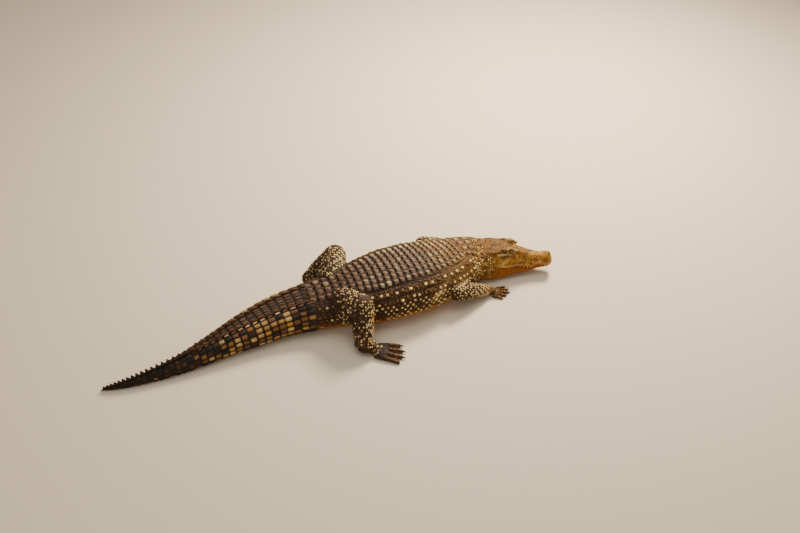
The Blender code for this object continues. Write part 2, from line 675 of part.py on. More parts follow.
def build_foot(prefix, kind, side, ankle, start_dir, heading, start_size, parts, cutters):
    """Palm, toes and web joined into one part with a flat sole, and a claw on each inner toe."""
    palm = HIND_PALM if kind == "hind" else FORE_PALM
    toes = HIND_TOES if kind == "hind" else FORE_TOES
    spread = HIND_SPREAD if kind == "hind" else FORE_SPREAD
    ahead = Vector((cos(heading), sin(heading), 0.0))
    left = Vector((-sin(heading), cos(heading), 0.0))
    size = (start_size[0], start_size[1] * 1.08)
    rings = dome(ankle, -ahead, left, ahead, size, start_size[1])[::-1]
    rings.append(oval(ankle, ahead, left, size[0], size[1]))
    for far, wide, tall in palm:
        centre = Vector((ankle.x, ankle.y, 0.0)) + ahead * far
        centre.z = tall - SOLE_SINK * 0.5
        rings.append(oval(centre, ahead, left, tall, wide))
    foot = loft(prefix + ("foot" if kind == "hind" else "hand"), rings, "leg_hide", parts)
    keep_side(foot, ankle, -start_dir, 0.5 * GAP)
    flat = Vector((ankle.x, ankle.y, 0.0))
    count = len(toes)
    tips = []
    for k, (turn, length, r_root, r_tip, clawed) in enumerate(toes):
        lateral = side * spread * (k - 0.5 * (count - 1)) * 0.78
        angle = heading + side * radians(turn) * 0.62
        pts, direction = toe_path(flat + left * lateral, angle, length, r_root)
        rings = []
        for i, p in enumerate(pts):
            r = r_root + (r_tip - r_root) * i / (len(pts) - 1)
            across = Vector((-direction.y, direction.x, 0.0))
            rings.append(oval(p, direction, across, r, 0.92 * r, TOE_SIDES))
        toe = loft("toe", rings, None, cutters)
        boolean(foot, toe, "UNION")
        drop(toe)
        tips.append((pts[-1], direction, r_tip, clawed, angle, flat + left * lateral))
    if kind == "hind":
        web = web_plate(tips, flat, ahead, HIND_WEB, cutters)
        boolean(foot, web, "UNION")
        drop(web)
    low = box("floor_cut", (flat.x - 0.5, flat.y - 0.5, -0.1), (flat.x + 0.5, flat.y + 0.5, 0.0),
              cutters)
    boolean(foot, low, "DIFFERENCE")
    drop(low)
    number = 0
    for point, direction, r_tip, clawed, angle, root in tips:
        if clawed:
            number += 1
            base = point + direction * GAP
            name = "{}claw_{}".format(prefix, number)
            claw(name, base, direction, 0.80 * r_tip, CLAW_LONG[kind], parts)
    return foot


def web_plate(tips, flat, ahead, reach, collection):
    """The skin between the toes: a thin plate from the palm out to part of the toes' length."""
    outline = []
    for point, direction, r_tip, clawed, angle, root in tips:
        outline.append(root + direction * reach * (1.0 if clawed else 0.93))
    outline.insert(0, tips[0][5] + ahead * WEB_BACK)
    outline.append(tips[-1][5] + ahead * WEB_BACK)
    outline.append(flat + ahead * WEB_BACK)
    curve = bpy.data.curves.new("web_outline", "CURVE")
    curve.dimensions = "2D"
    curve.fill_mode = "BOTH"
    curve.extrude = 0.5 * (WEB_TOP - WEB_LOW)
    spline = curve.splines.new("POLY")
    spline.points.add(len(outline) - 1)
    for point, place in zip(spline.points, outline):
        point.co = (place.x, place.y, 0.0, 1.0)
    spline.use_cyclic_u = True
    flat_obj = bpy.data.objects.new("web_outline", curve)
    collection.objects.link(flat_obj)
    bpy.context.view_layer.update()
    graph = bpy.context.evaluated_depsgraph_get()
    mesh = bpy.data.meshes.new_from_object(flat_obj.evaluated_get(graph))
    bm = bmesh.new()
    bm.from_mesh(mesh)
    bmesh.ops.remove_doubles(bm, verts=bm.verts, dist=WELD)
    bmesh.ops.translate(bm, verts=bm.verts, vec=(0.0, 0.0, 0.5 * (WEB_TOP + WEB_LOW)))
    bpy.data.objects.remove(flat_obj)
    bpy.data.curves.remove(curve)
    bpy.data.meshes.remove(mesh)
    return from_bmesh("web", bm, None, collection)


def build_legs(parts, cutters):
    """All four legs, trimmed where they meet the trunk."""
    trunk = trunk_cutter(cutters)
    for side, label in ((1, "left"), (-1, "right")):
        point, ahead, left = spine(HIND_ROOT_S)
        root = point + left * (side * HIND_ROOT_SIDE) + Vector((0.0, 0.0, HIND_ROOT_Z))
        heading = radians(HIND_HEADING[side])
        foot_dir = Vector((cos(heading), sin(heading), 0.0))
        joints = (root, HIND_KNEE[side], HIND_ANKLE[side])
        prefix = "hind_" + label + "_"
        top, low, last = leg_tubes(prefix, ("thigh", "shank"), joints, THIGH, KNEE, SHANK, ANKLE,
                                   foot_dir, parts)
        boolean(top, trunk, "DIFFERENCE")
        boolean(low, trunk, "DIFFERENCE")
        build_foot(prefix, "hind", side, Vector(HIND_ANKLE[side]), last, heading, ANKLE, parts,
                   cutters)
        point, ahead, left = spine(FORE_ROOT_S)
        root = point + left * (side * FORE_ROOT_SIDE) + Vector((0.0, 0.0, FORE_ROOT_Z))
        heading = radians(FORE_HEADING[side])
        foot_dir = Vector((cos(heading), sin(heading), 0.0))
        joints = (root, FORE_ELBOW[side], FORE_WRIST[side])
        prefix = "fore_" + label + "_"
        top, low, last = leg_tubes(prefix, ("upper_arm", "forearm"), joints, UPPER_ARM, ELBOW,
                                   FOREARM, WRIST, foot_dir, parts)
        boolean(top, trunk, "DIFFERENCE")
        boolean(low, trunk, "DIFFERENCE")
        build_foot(prefix, "fore", side, Vector(FORE_WRIST[side]), last, heading, WRIST, parts,
                   cutters)


# ---------------------------------------------------------------- scene
def clear_scene():
    """Remove everything that Blender starts with."""
    for obj in list(bpy.data.objects):
        bpy.data.objects.remove(obj)
    for coll in list(bpy.data.collections):
        bpy.data.collections.remove(coll)
    for block in (bpy.data.meshes, bpy.data.materials):
        for item in list(block):
            block.remove(item)


def make_materials():
    """One plain Principled material for each kind of surface."""
    for name, (colour, rough, metal) in MATERIALS.items():
        mat = bpy.data.materials.new(name)
        mat.use_nodes = True
        mat.diffuse_color = colour
        node = mat.node_tree.nodes["Principled BSDF"]
        node.inputs["Base Color"].default_value = colour
        node.inputs["Roughness"].default_value = rough
        node.inputs["Metallic"].default_value = metal


def main():
    clear_scene()
    make_materials()
    scene = bpy.context.scene
    scene.unit_settings.system = "METRIC"
    scene.unit_settings.scale_length = 1.0
    parts = bpy.data.collections.new("crocodile")
    cutters = bpy.data.collections.new("cutters")
    scene.collection.children.link(parts)
    scene.collection.children.link(cutters)
    build_head(parts, cutters)
    names = ("neck", "thorax", "belly", "pelvis")
    for name, (start, end, most) in zip(names, TRUNK_SPANS):
        trunk_part(name, start, end, most, "hide", parts)
    tail_part("tail_base", 0, BASE_WHORLS, True, "tail_hide", parts)
    tail_part("tail_middle", BASE_WHORLS, DOUBLE_WHORLS, True, "tail_hide", parts)
    tail_part("tail_end", DOUBLE_WHORLS, WHORLS, False, "tail_hide", parts)
    build_legs(parts, cutters)
    for obj in parts.objects:
        obj.data.shade_smooth()
        obj.data.set_sharp_from_angle(angle=radians(SHARP))
    for obj in cutters.objects:
        obj.hide_render = True
        obj.display_type = "WIRE"


main()
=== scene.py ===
"""Looks of the crocodile: one skin over the whole body, a coat of scales, and the head's detail.

The frame's flesh nodes are hidden, and one skin takes their place.  It is swept from the same
named sizes as the solids and made one surface by a voxel remesh.  It lies a scale's depth
inside the solids, except on the snout and the limbs, which it fills out a little.  Scales are
small solid shapes set on that skin in the rows a crocodile has.

Lengths are in metres.  Distances "s" run along the spine from the snout tip, "d" over the skin
from the back's middle line, "u" along the head, and "side" to the animal's left.  Where side
is a plain number, it is 1 for the left and -1 for the right.
"""
from collections import namedtuple

import bmesh
import bpy
import numpy as np
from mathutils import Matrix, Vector
from mathutils.bvhtree import BVHTree
from mathutils.kdtree import KDTree


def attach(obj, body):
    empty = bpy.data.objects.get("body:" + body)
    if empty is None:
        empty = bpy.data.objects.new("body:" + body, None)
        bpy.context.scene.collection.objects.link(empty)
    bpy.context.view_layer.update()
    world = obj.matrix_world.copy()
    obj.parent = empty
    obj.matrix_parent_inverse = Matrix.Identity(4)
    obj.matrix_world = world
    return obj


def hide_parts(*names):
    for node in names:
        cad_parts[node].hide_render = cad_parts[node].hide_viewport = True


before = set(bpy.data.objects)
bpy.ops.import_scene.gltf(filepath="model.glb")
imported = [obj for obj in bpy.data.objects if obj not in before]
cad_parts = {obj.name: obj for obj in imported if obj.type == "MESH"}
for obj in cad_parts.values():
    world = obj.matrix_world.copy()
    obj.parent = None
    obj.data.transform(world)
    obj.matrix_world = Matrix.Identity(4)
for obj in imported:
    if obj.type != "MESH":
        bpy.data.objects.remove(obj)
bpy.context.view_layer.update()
RNG = np.random.default_rng(11)

# ---------------------------------------------------------------- body sizes, as in the solids
LENGTH = 2.50
MID = 0.88
STEP = 0.002
BELLY_SINK = 0.007     # how far the rounding of the belly would go below the floor
HEADING = (
    (0.00, -22.5), (0.375, -22.5), (0.415, -14.0), (0.465, 1.0), (0.52, 9.5), (0.60, 9.5),
    (0.70, 6.5), (0.80, 4.0), (0.90, 1.0), (1.00, -1.0), (1.10, -2.5), (1.25, -4.5),
    (1.36, -5.0), (1.48, 0.5), (1.60, 8.5), (1.75, 12.0), (1.92, 13.0), (2.08, 8.5),
    (2.22, 3.0), (2.33, -1.0), (2.42, -8.0), (2.50, -14.0),
)
WIDTH = (
    (0.375, 0.244), (0.44, 0.282), (0.50, 0.318), (0.57, 0.352), (0.70, 0.424), (0.82, 0.456),
    (0.92, 0.460), (1.02, 0.440), (1.10, 0.408), (1.18, 0.368), (1.25, 0.334), (1.42, 0.284),
    (1.66, 0.232), (1.90, 0.150), (2.11, 0.092), (2.32, 0.046), (2.46, 0.020), (2.50, 0.010),
)
HEIGHT = (
    (0.375, 0.168), (0.44, 0.182), (0.50, 0.196), (0.57, 0.210), (0.70, 0.230), (0.82, 0.243),
    (0.92, 0.245), (1.02, 0.236), (1.10, 0.225), (1.18, 0.213), (1.25, 0.200), (1.42, 0.172),
    (1.66, 0.146), (1.90, 0.116), (2.11, 0.078), (2.32, 0.048), (2.46, 0.024), (2.50, 0.012),
)
WIDEST = 0.42
TOP_POWER = 2.35
LOW_POWER = 2.60
NECK_START = 0.375
TAIL_START = 1.37
WHORL_FIRST = 0.0470
WHORL_LAST = 0.0175
WHORLS = 35
DOUBLE_WHORLS = 16
CREST = ((1.37, 0.008), (1.55, 0.013), (1.80, 0.018), (1.98, 0.024), (2.10, 0.031),
         (2.25, 0.028), (2.40, 0.019), (2.50, 0.008))
CREST_SIDE = ((1.37, 0.40), (1.60, 0.36), (1.80, 0.28), (1.95, 0.17), (2.00, 0.14))

HALF_HEAD = (
    (0.000, 0.016), (0.006, 0.027), (0.016, 0.035), (0.032, 0.0405), (0.050, 0.0395),
    (0.066, 0.0345), (0.084, 0.041), (0.115, 0.051), (0.140, 0.0540), (0.165, 0.0555),
    (0.195, 0.062), (0.230, 0.073), (0.265, 0.085), (0.300, 0.096), (0.330, 0.105),
    (0.355, 0.111), (0.375, 0.114),
)
HEAD_TOP = (
    (0.000, 0.085), (0.010, 0.1010), (0.028, 0.1090), (0.048, 0.1070), (0.066, 0.1045),
    (0.100, 0.1095), (0.130, 0.1170), (0.165, 0.1300), (0.200, 0.1490), (0.225, 0.1630),
    (0.250, 0.1720), (0.290, 0.1770), (0.335, 0.1770), (0.360, 0.1730), (0.375, 0.1680),
)
TABLE_HALF = (
    (0.000, 0.008), (0.016, 0.019), (0.032, 0.023), (0.066, 0.019), (0.115, 0.026),
    (0.165, 0.031), (0.200, 0.036), (0.225, 0.040), (0.260, 0.050), (0.300, 0.060),
    (0.345, 0.064), (0.375, 0.064),
)
MOUTH = (
    (0.000, 0.0655), (0.016, 0.0635), (0.034, 0.0625), (0.054, 0.0660), (0.066, 0.0710),
    (0.080, 0.0685), (0.105, 0.0610), (0.130, 0.0590), (0.155, 0.0650), (0.180, 0.0705),
    (0.210, 0.0705), (0.240, 0.0710), (0.270, 0.0780), (0.300, 0.0890), (0.324, 0.0990),
    (0.345, 0.1050), (0.375, 0.1080),
)
HALF_JAW = (
    (0.000, 0.011), (0.006, 0.020), (0.016, 0.028), (0.032, 0.033), (0.050, 0.0325),
    (0.066, 0.0325), (0.084, 0.0355), (0.115, 0.0440), (0.140, 0.0480), (0.165, 0.0505),
    (0.195, 0.058), (0.230, 0.070), (0.265, 0.083), (0.300, 0.095), (0.330, 0.105),
    (0.355, 0.112), (0.375, 0.115),
)
JAW_BULGE = (
    (0.000, 0.012), (0.006, 0.021), (0.032, 0.035), (0.066, 0.0385), (0.115, 0.0525),
    (0.140, 0.0590), (0.195, 0.072), (0.230, 0.084), (0.265, 0.097), (0.300, 0.109),
    (0.330, 0.118), (0.355, 0.122), (0.375, 0.122),
)
JAW_LOW = (
    (0.000, 0.0520), (0.010, 0.0460), (0.030, 0.0420), (0.070, 0.0355), (0.120, 0.0275),
    (0.180, 0.0185), (0.240, 0.0115), (0.300, 0.0065), (0.375, 0.0050),
)
EYE_U = 0.229
EYE_SIDE = 0.0455
EYE_Z = 0.1620
EYE_R = 0.0125
BROW_SIZE = (0.030, 0.0165, 0.0225)
NOSE_U = 0.026
NOSE_SIZE = (0.021, 0.019, 0.0165)
TEETH_U = (0.012, 0.026, 0.041, 0.054, 0.083, 0.099, 0.116, 0.134, 0.154, 0.176, 0.199)
BIG_TEETH_U = (0.041, 0.116, 0.134)
FOURTH_U = 0.0665

HIND_ROOT = (1.235, 0.075, 0.118)      # s, side, level
HIND_KNEE = {1: (-0.278, 0.236, 0.180), -1: (-0.290, -0.192, 0.182)}
HIND_ANKLE = {1: (-0.405, 0.275, 0.050), -1: (-0.330, -0.314, 0.050)}
HIND_HEADING = {1: 8.0, -1: -33.0}
THIGH = ((0.00, 0.085, 0.075), (0.45, 0.078, 0.068), (0.74, 0.066, 0.058))
KNEE = (0.058, 0.050)
SHANK = ((0.28, 0.055, 0.045), (0.55, 0.053, 0.041), (0.80, 0.048, 0.034))
ANKLE = (0.049, 0.031)
FORE_ROOT = (0.560, 0.085, 0.118)
FORE_ELBOW = {1: (0.250, 0.245, 0.094), -1: (0.250, -0.186, 0.094)}
FORE_WRIST = {1: (0.430, 0.235, 0.030), -1: (0.436, -0.170, 0.030)}
FORE_HEADING = {1: 16.0, -1: -17.0}
UPPER_ARM = ((0.00, 0.058, 0.050), (0.40, 0.052, 0.046), (0.70, 0.044, 0.040))
ELBOW = (0.047, 0.036)
FOREARM = ((0.26, 0.042, 0.037), (0.55, 0.036, 0.032), (0.82, 0.028, 0.025))
WRIST = (0.0265, 0.021)
HIND_PALM = ((0.060, 0.036, 0.023), (0.088, 0.044, 0.018), (0.116, 0.049, 0.014))
HIND_TOES = (
    (-20.0, 0.172, 0.0120, 0.0078, True), (-6.5, 0.188, 0.0125, 0.0080, True),
    (6.0, 0.194, 0.0125, 0.0078, True), (18.5, 0.190, 0.0105, 0.0066, False),
)
HIND_SPREAD = 0.018
FORE_PALM = ((0.038, 0.028, 0.017), (0.052, 0.032, 0.015), (0.066, 0.034, 0.012))
FORE_TOES = (
    (-26.0, 0.092, 0.0082, 0.0058, True), (-11.0, 0.104, 0.0086, 0.0060, True),
    (3.0, 0.106, 0.0086, 0.0060, True), (20.0, 0.094, 0.0074, 0.0050, False),
    (41.0, 0.078, 0.0070, 0.0048, False),
)
FORE_SPREAD = 0.0095
TOE_ROOT = 0.38        # share of a toe that lies inside the palm
TOE_SPREAD = 0.78      # share of the full spread at which the toes start
TOE_FAN = 0.62         # share of the full turn that they take
CLAW_LONG = {"hind": 0.026, "fore": 0.017}

# ---------------------------------------------------------------- skin
VOXEL = 0.0040
DEPTH_BODY = 0.0032    # the skin lies this far inside the solids where scales stand on it
DEPTH_LIMB = 0.0020
DEPTH_FOOT = 0.0010
DEPTH_HEAD = 0.0006
WEB_SHARE = 0.955      # how far along the toes the web reaches
WEB_BACK = 0.05        # how far ahead of the ankle it starts
WEB_LEVELS = (0.0005, 0.0115)
TOE_MORE = {"hind": 0.0026, "fore": 0.0012}    # soft pads make the toes a little thicker
LIMB_FULL = {"hind": 0.0085, "fore": 0.0060}   # flesh that fills the limbs out
FIRST_ROUNDS = 3       # how often the skin is smoothed all over,
CREASE_ROUNDS = 26     # where a leg meets the body,
NAPE_ROUNDS = 45       # where the head meets the neck,
BROW_ROUNDS = 16       # round the eyes and the nose,
FINE_ROUNDS = 3        # and on the head's finer mesh
BROW_ENDS = ((0.262, 0.0455, 0.1605, (0.040, 0.0125, 0.0180)),    # u, side, level, half sizes
             (0.211, 0.0415, 0.1515, (0.026, 0.0125, 0.0135)))
HAND_REACH = 0.13      # what lies this far ahead of the wrist and
ARM_REACH = 0.065      # this near to the forearm beside the head is leg
FLOOR_GAP = 0.0002     # no skin comes nearer to the floor
RING_STEP = 0.005      # spacing of the rings that the skin's bodies are swept through
TRUNK_SIDES = 96
LIMB_SIDES = 28


# ---------------------------------------------------------------- numbers
def curve(table, t):
    """Smooth curve through the (t, value) pairs, without overshoot, for an array of t."""
    x = np.array([p[0] for p in table])
    y = np.array([p[1] for p in table])
    h = np.diff(x)
    d = np.diff(y) / h
    m = np.zeros(len(x))
    both = d[:-1] * d[1:] > 0
    m[1:-1][both] = 2 * d[:-1][both] * d[1:][both] / (d[:-1][both] + d[1:][both])
    t = np.clip(np.asarray(t, float), x[0], x[-1])
    i = np.clip(np.searchsorted(x, t, side="left") - 1, 0, len(h) - 1)
    v = (t - x[i]) / h[i]
    out = (1 + 2 * v) * (1 - v) ** 2 * y[i] + v * (1 - v) ** 2 * h[i] * m[i]
    return out + v * v * (3 - 2 * v) * y[i + 1] + v * v * (v - 1) * h[i] * m[i + 1]


def ramp(x, low, high):
    """0 below low, 1 above high, and smooth between; low may be above high."""
    v = np.clip((np.asarray(x, float) - low) / (high - low), 0.0, 1.0)
    return v * v * (3 - 2 * v)


def unit(v):
    """Vectors of length one."""
    return v / np.maximum(np.linalg.norm(v, axis=-1, keepdims=True), 1e-12)


def bell(x, width):
    """A bell curve: 1 where x is 0, and nearly 0 two widths away."""
    return np.exp(-(x / width) ** 2)


def compass(angle):
    """Level directions ahead and to the left, for a heading in radians."""
    c, s = np.cos(angle), np.sin(angle)
    return np.array([c, s, 0.0]), np.array([-s, c, 0.0])


def spine_table():
    """Spine points every STEP, followed from the origin in both directions."""
    count = int(round(LENGTH / STEP)) + 1
    mid = int(round(MID / STEP))
    a = np.radians(curve(HEADING, (np.arange(count - 1) + 0.5) * STEP))
    x = np.concatenate([[0.0], np.cumsum(-STEP * np.cos(a))])
    y = np.concatenate([[0.0], np.cumsum(-STEP * np.sin(a))])
    return x - x[mid], y - y[mid]


CHUNK = 8000           # points looked up at once
SPINE_X, SPINE_Y = spine_table()
SPINE_S = np.arange(len(SPINE_X)) * STEP


def spine(s):
    """Points of the spine on the floor, and the forward and left directions, at distances s."""
    s = np.asarray(s, float)
    p = np.stack([np.interp(s, SPINE_S, SPINE_X), np.interp(s, SPINE_S, SPINE_Y), 0 * s], -1)
    a = np.radians(curve(HEADING, s))
    ahead = np.stack([np.cos(a), np.sin(a), 0 * a], -1)
    left = np.stack([-np.sin(a), np.cos(a), 0 * a], -1)
    return p, ahead, left


def along_spine(points):
    """Distance s and sideways distance of points, from the nearest point of the spine."""
    s = np.empty(len(points))
    for i in range(0, len(points), CHUNK):
        q = points[i:i + CHUNK]
        d = (q[:, None, 0] - SPINE_X[None, ::2]) ** 2 + (q[:, None, 1] - SPINE_Y[None, ::2]) ** 2
        s[i:i + CHUNK] = SPINE_S[::2][d.argmin(1)]
    p, ahead, _ = spine(s)
    s = s - ((points - p) * ahead).sum(1)
    p, _, left = spine(s)
    return s, ((points - p) * left).sum(1)


HEAD_P, HEAD_A, HEAD_L = spine(0.0)    # snout tip on the floor, and the head's directions


def round_body(s, side, z):
    """Angle round the trunk, 0 at the top and pi below, left positive."""
    half = 0.5 * curve(WIDTH, s)
    level = WIDEST * curve(HEIGHT, s)
    return np.arctan2(side / half, (z - level) / np.maximum(level, 0.004))


def head_point(u, side, z):
    """World position of points given along the head, to its left, and up."""
    u, side, z = np.broadcast_arrays(*[np.asarray(v, float) for v in (u, side, z)])
    flat = HEAD_P - HEAD_A * u[..., None] + HEAD_L * side[..., None]
    return flat + np.array([0.0, 0.0, 1.0]) * z[..., None]


def head_coords(points):
    """The head's own u, side and level of world points."""
    d = points - HEAD_P
    return -(d @ HEAD_A), d @ HEAD_L, points[:, 2]


# ---------------------------------------------------------------- meshes
def linked(obj):
    """The object, put into the scene."""
    bpy.context.scene.collection.objects.link(obj)
    return obj


def read(items, key, width=3):
    """Numbers stored in a mesh's items, one row of the given width for each item."""
    whole = key in ("vertex_index", "vertices", "loop_start")
    out = np.empty(len(items) * width, np.int32 if whole else np.float32)
    items.foreach_get(key, out)
    out = out if whole else out.astype(float)
    return out.reshape(-1, width) if width > 1 else out


def mesh_object(name, verts, faces):
    """A mesh object from arrays of points and faces."""
    mesh = bpy.data.meshes.new(name)
    mesh.from_pydata([tuple(v) for v in verts], [], [tuple(f) for f in faces])
    return linked(bpy.data.objects.new(name, mesh))


def grid_mesh(name, verts, quads, tris=None):
    """A mesh object from numpy quads and triangles, made without a Python loop."""
    mesh = bpy.data.meshes.new(name)
    parts = [quads] if tris is None else [quads, tris]
    loops = np.concatenate([p.reshape(-1) for p in parts]).astype(np.int32)
    sizes = np.concatenate([np.full(len(p), p.shape[1]) for p in parts])
    mesh.vertices.add(len(verts))
    mesh.vertices.foreach_set("co", np.asarray(verts, np.float32).ravel())
    mesh.loops.add(len(loops))
    mesh.loops.foreach_set("vertex_index", loops)
    mesh.polygons.add(len(sizes))
    starts = np.concatenate([[0], np.cumsum(sizes)[:-1]]).astype(np.int32)
    mesh.polygons.foreach_set("loop_start", starts)
    mesh.update(calc_edges=True)
    return linked(bpy.data.objects.new(name, mesh))


def face_outwards(mesh):
    """Turn all faces of a mesh outwards."""
    bm = bmesh.new()
    bm.from_mesh(mesh)
    bmesh.ops.recalc_face_normals(bm, faces=bm.faces)
    bm.to_mesh(mesh)
    bm.free()


def joined(bodies):
    """Points and faces of many bodies, numbered as one."""
    faces = []
    base = 0
    for verts, own in bodies:
        faces += [tuple(int(i) + base for i in face) for face in own]
        base += len(verts)
    return np.vstack([body[0] for body in bodies]), faces


def sweep(rings):
    """Points, quads and end caps of a closed body through rings (rows, points, 3)."""
    rows, count, _ = rings.shape
    verts = rings.reshape(-1, 3)
    verts = np.vstack([verts, rings[0].mean(0), rings[-1].mean(0)])
    k = np.arange(count)
    n = (k + 1) % count
    faces = []
    for r in range(rows - 1):
        a = r * count
        b = a + count
        faces += list(zip(a + k, a + n, b + n, b + k))
    first = rows * count
    faces += [(first, b, a) for a, b in zip(k, n)]
    last = (rows - 1) * count
    faces += [(first + 1, last + a, last + b) for a, b in zip(k, n)]
    return verts, faces


def section(s, share, depth):
    """Points of the trunk's section at s; share runs 0 top, 0.5 bottom, 1 top, left side first."""
    half = np.maximum(0.5 * curve(WIDTH, s) - depth, 0.002)
    height = curve(HEIGHT, s)
    level = WIDEST * height
    a = 2 * np.pi * share
    up = np.cos(a) >= 0
    sin = np.abs(np.sin(a))
    power = np.where(up, TOP_POWER, LOW_POWER)
    x = np.sign(np.sin(a)) * half * sin ** (2 / power)
    r = np.minimum(np.abs(x) / half, 1.0)
    bow = (1 - r ** power) ** (1 / power)
    top = level + np.maximum(height - depth - level, 0.002) * bow
    low = np.maximum(level - (level + BELLY_SINK - depth) * bow, 0.0)
    return x, np.where(up, top, low)


def trunk_rings(start, end, step, sides, depth):
    """Rings of neck, trunk and tail, set square to the spine."""
    s = np.linspace(start, end, int(np.ceil((end - start) / step)) + 1)
    share = (np.arange(sides) / sides)[None, :]
    x, z = section(s[:, None], share, depth)
    p, _, left = spine(s)
    rings = p[:, None, :] + left[:, None, :] * x[..., None]
    rings[..., 2] += z
    return rings


def chaikin(points, rounds):
    """Cut the corners of closed outlines (rows, points, 2)."""
    for _ in range(rounds):
        nxt = np.roll(points, -1, axis=1)
        a = 0.75 * points + 0.25 * nxt
        b = 0.25 * points + 0.75 * nxt
        points = np.stack([a, b], 2).reshape(len(points), -1, 2)
    return points


def skull_rings(jaw, grow):
    """Rings of the upper head or the lower jaw, with rounded corners."""
    u = np.concatenate([[0.0, 0.002, 0.005], np.arange(0.009, 0.392, RING_STEP)])
    at = np.minimum(u, NECK_START)
    m = curve(MOUTH, at)
    if jaw:
        w = curve(HALF_JAW, at)
        b = curve(JAW_BULGE, at)
        low = curve(JAW_LOW, at)
        m = m + 0.0015
        h = m - low
        pts = [(0 * w, m), (0.5 * w, m), (w, m), (w, m - 0.26 * h), (b, m - 0.56 * h),
               (0.93 * b, low + 0.16 * h), (0.74 * b, low), (0.37 * b, low), (0 * w, low)]
    else:
        w = curve(HALF_HEAD, at)
        top = curve(HEAD_TOP, at)
        t = curve(TABLE_HALF, at)
        m = m - 0.0015
        h = top - m
        pts = [(0 * w, top), (0.62 * t, top - 0.02 * h), (t, top - 0.10 * h),
               (t + 0.46 * (w - t), top - 0.34 * h), (t + 0.84 * (w - t), top - 0.64 * h),
               (w, m + 0.14 * h), (w - 0.0012, m), (0.5 * w, m), (0 * w, m)]
    half = np.stack([np.stack(p, -1) for p in pts], 1)
    mirror = half[:, 1:-1][:, ::-1] * np.array([-1.0, 1.0])
    full = chaikin(np.concatenate([half, mirror], 1), 2)
    centre = full.mean(1, keepdims=True)
    full = full + unit(full - centre) * grow
    return head_point(u[:, None], full[..., 0], full[..., 1])


def tube_rings(points, sizes, normal, sides=LIMB_SIDES):
    """Rings of an oval tube through points; sizes are half widths in the bend and across it."""
    points = np.asarray(points, float)
    sizes = np.asarray(sizes, float)
    tangent = unit(np.gradient(points, axis=0))
    inward = unit(np.cross(normal, tangent))
    over = np.cross(tangent, inward)
    a = np.linspace(0, 2 * np.pi, sides, endpoint=False)
    ring = points[:, None, :]
    ring = ring + inward[:, None, :] * (sizes[:, 0, None] * np.cos(a))[..., None]
    return ring + over[:, None, :] * (sizes[:, 1, None] * np.sin(a))[..., None]


def rounded_tube(stations, normal, depth):
    """A tube through (point, half in bend, half across) with both ends domed."""
    pts = np.array([s[0] for s in stations], float)
    size = np.array([[s[1], s[2]] for s in stations], float) - depth
    steps = np.concatenate([[0], np.cumsum(np.linalg.norm(np.diff(pts, axis=0), axis=1))])
    fine = np.linspace(0, steps[-1], max(8, int(steps[-1] / 0.006)))
    p = np.stack([np.interp(fine, steps, pts[:, i]) for i in range(3)], 1)
    z = np.stack([curve(list(zip(steps, size[:, i])), fine) for i in range(2)], 1)
    first = unit(p[0] - p[1])
    last = unit(p[-1] - p[-2])
    angles = np.radians([84.0, 66.0, 48.0, 30.0, 15.0])
    head = [p[0] + first * z[0, 0] * np.sin(a) for a in angles]
    head_size = [z[0] * np.cos(a) for a in angles]
    tail = [p[-1] + last * z[-1, 0] * np.sin(a) for a in angles[::-1]]
    tail_size = [z[-1] * np.cos(a) for a in angles[::-1]]
    p = np.vstack([head, p, tail])
    z = np.vstack([head_size, z, tail_size])
    return sweep(tube_rings(p, z, normal))


def ball(centre, size, turn=0.0):
    """Points and faces of an ellipsoid with half sizes (forward, side, up)."""
    a = np.radians([2, *range(12, 180, 12), 178])
    b = np.linspace(0, 2 * np.pi, LIMB_SIDES, endpoint=False)
    x = size[0] * np.sin(a)[:, None] * np.cos(b)
    y = size[1] * np.sin(a)[:, None] * np.sin(b)
    z = size[2] * np.cos(a)[:, None] + 0 * b
    c, s = np.cos(turn), np.sin(turn)
    rings = np.stack([x * c - y * s, x * s + y * c, z], -1) + centre
    return sweep(rings)


Leg = namedtuple("Leg", "root knee ankle heading ahead left axis")
Toe = namedtuple("Toe", "points thick thin clawed ahead left start")


def leg_joints(kind, side):
    """Root, bend and end of a leg, its foot's directions, and the axis the leg bends about."""
    at, mid, end, heading = (
        (HIND_ROOT, HIND_KNEE, HIND_ANKLE, HIND_HEADING) if kind == "hind"
        else (FORE_ROOT, FORE_ELBOW, FORE_WRIST, FORE_HEADING))
    p, _, left = spine(at[0])
    root = p + left * side * at[1] + np.array([0, 0, at[2]])
    knee, ankle, turn = np.array(mid[side]), np.array(end[side]), np.radians(heading[side])
    axis = unit(np.cross(knee - root, ankle - knee))
    return Leg(root, knee, ankle, turn, *compass(turn), axis)


def toe_lines(kind, side):
    """The toes of one foot, in the order of their table."""
    leg = leg_joints(kind, side)
    toes, spread = (HIND_TOES, HIND_SPREAD) if kind == "hind" else (FORE_TOES, FORE_SPREAD)
    flat = leg.ankle * [1, 1, 0]
    out = []
    for k, (turn, length, thick, thin, clawed) in enumerate(toes):
        start = flat + leg.left * side * spread * (k - 0.5 * (len(toes) - 1)) * TOE_SPREAD
        ahead, left = compass(leg.heading + side * np.radians(turn) * TOE_FAN)
        points = []
        for share, lift in ((0.0, 0.95), (0.50, 1.05), (1.0, 0.66)):
            p = start + ahead * length * (TOE_ROOT + (1 - TOE_ROOT) * share)
            points.append(p + np.array([0, 0, thick * lift]))
        out.append(Toe(np.array(points), thick, thin, clawed, ahead, left, start))
    return out


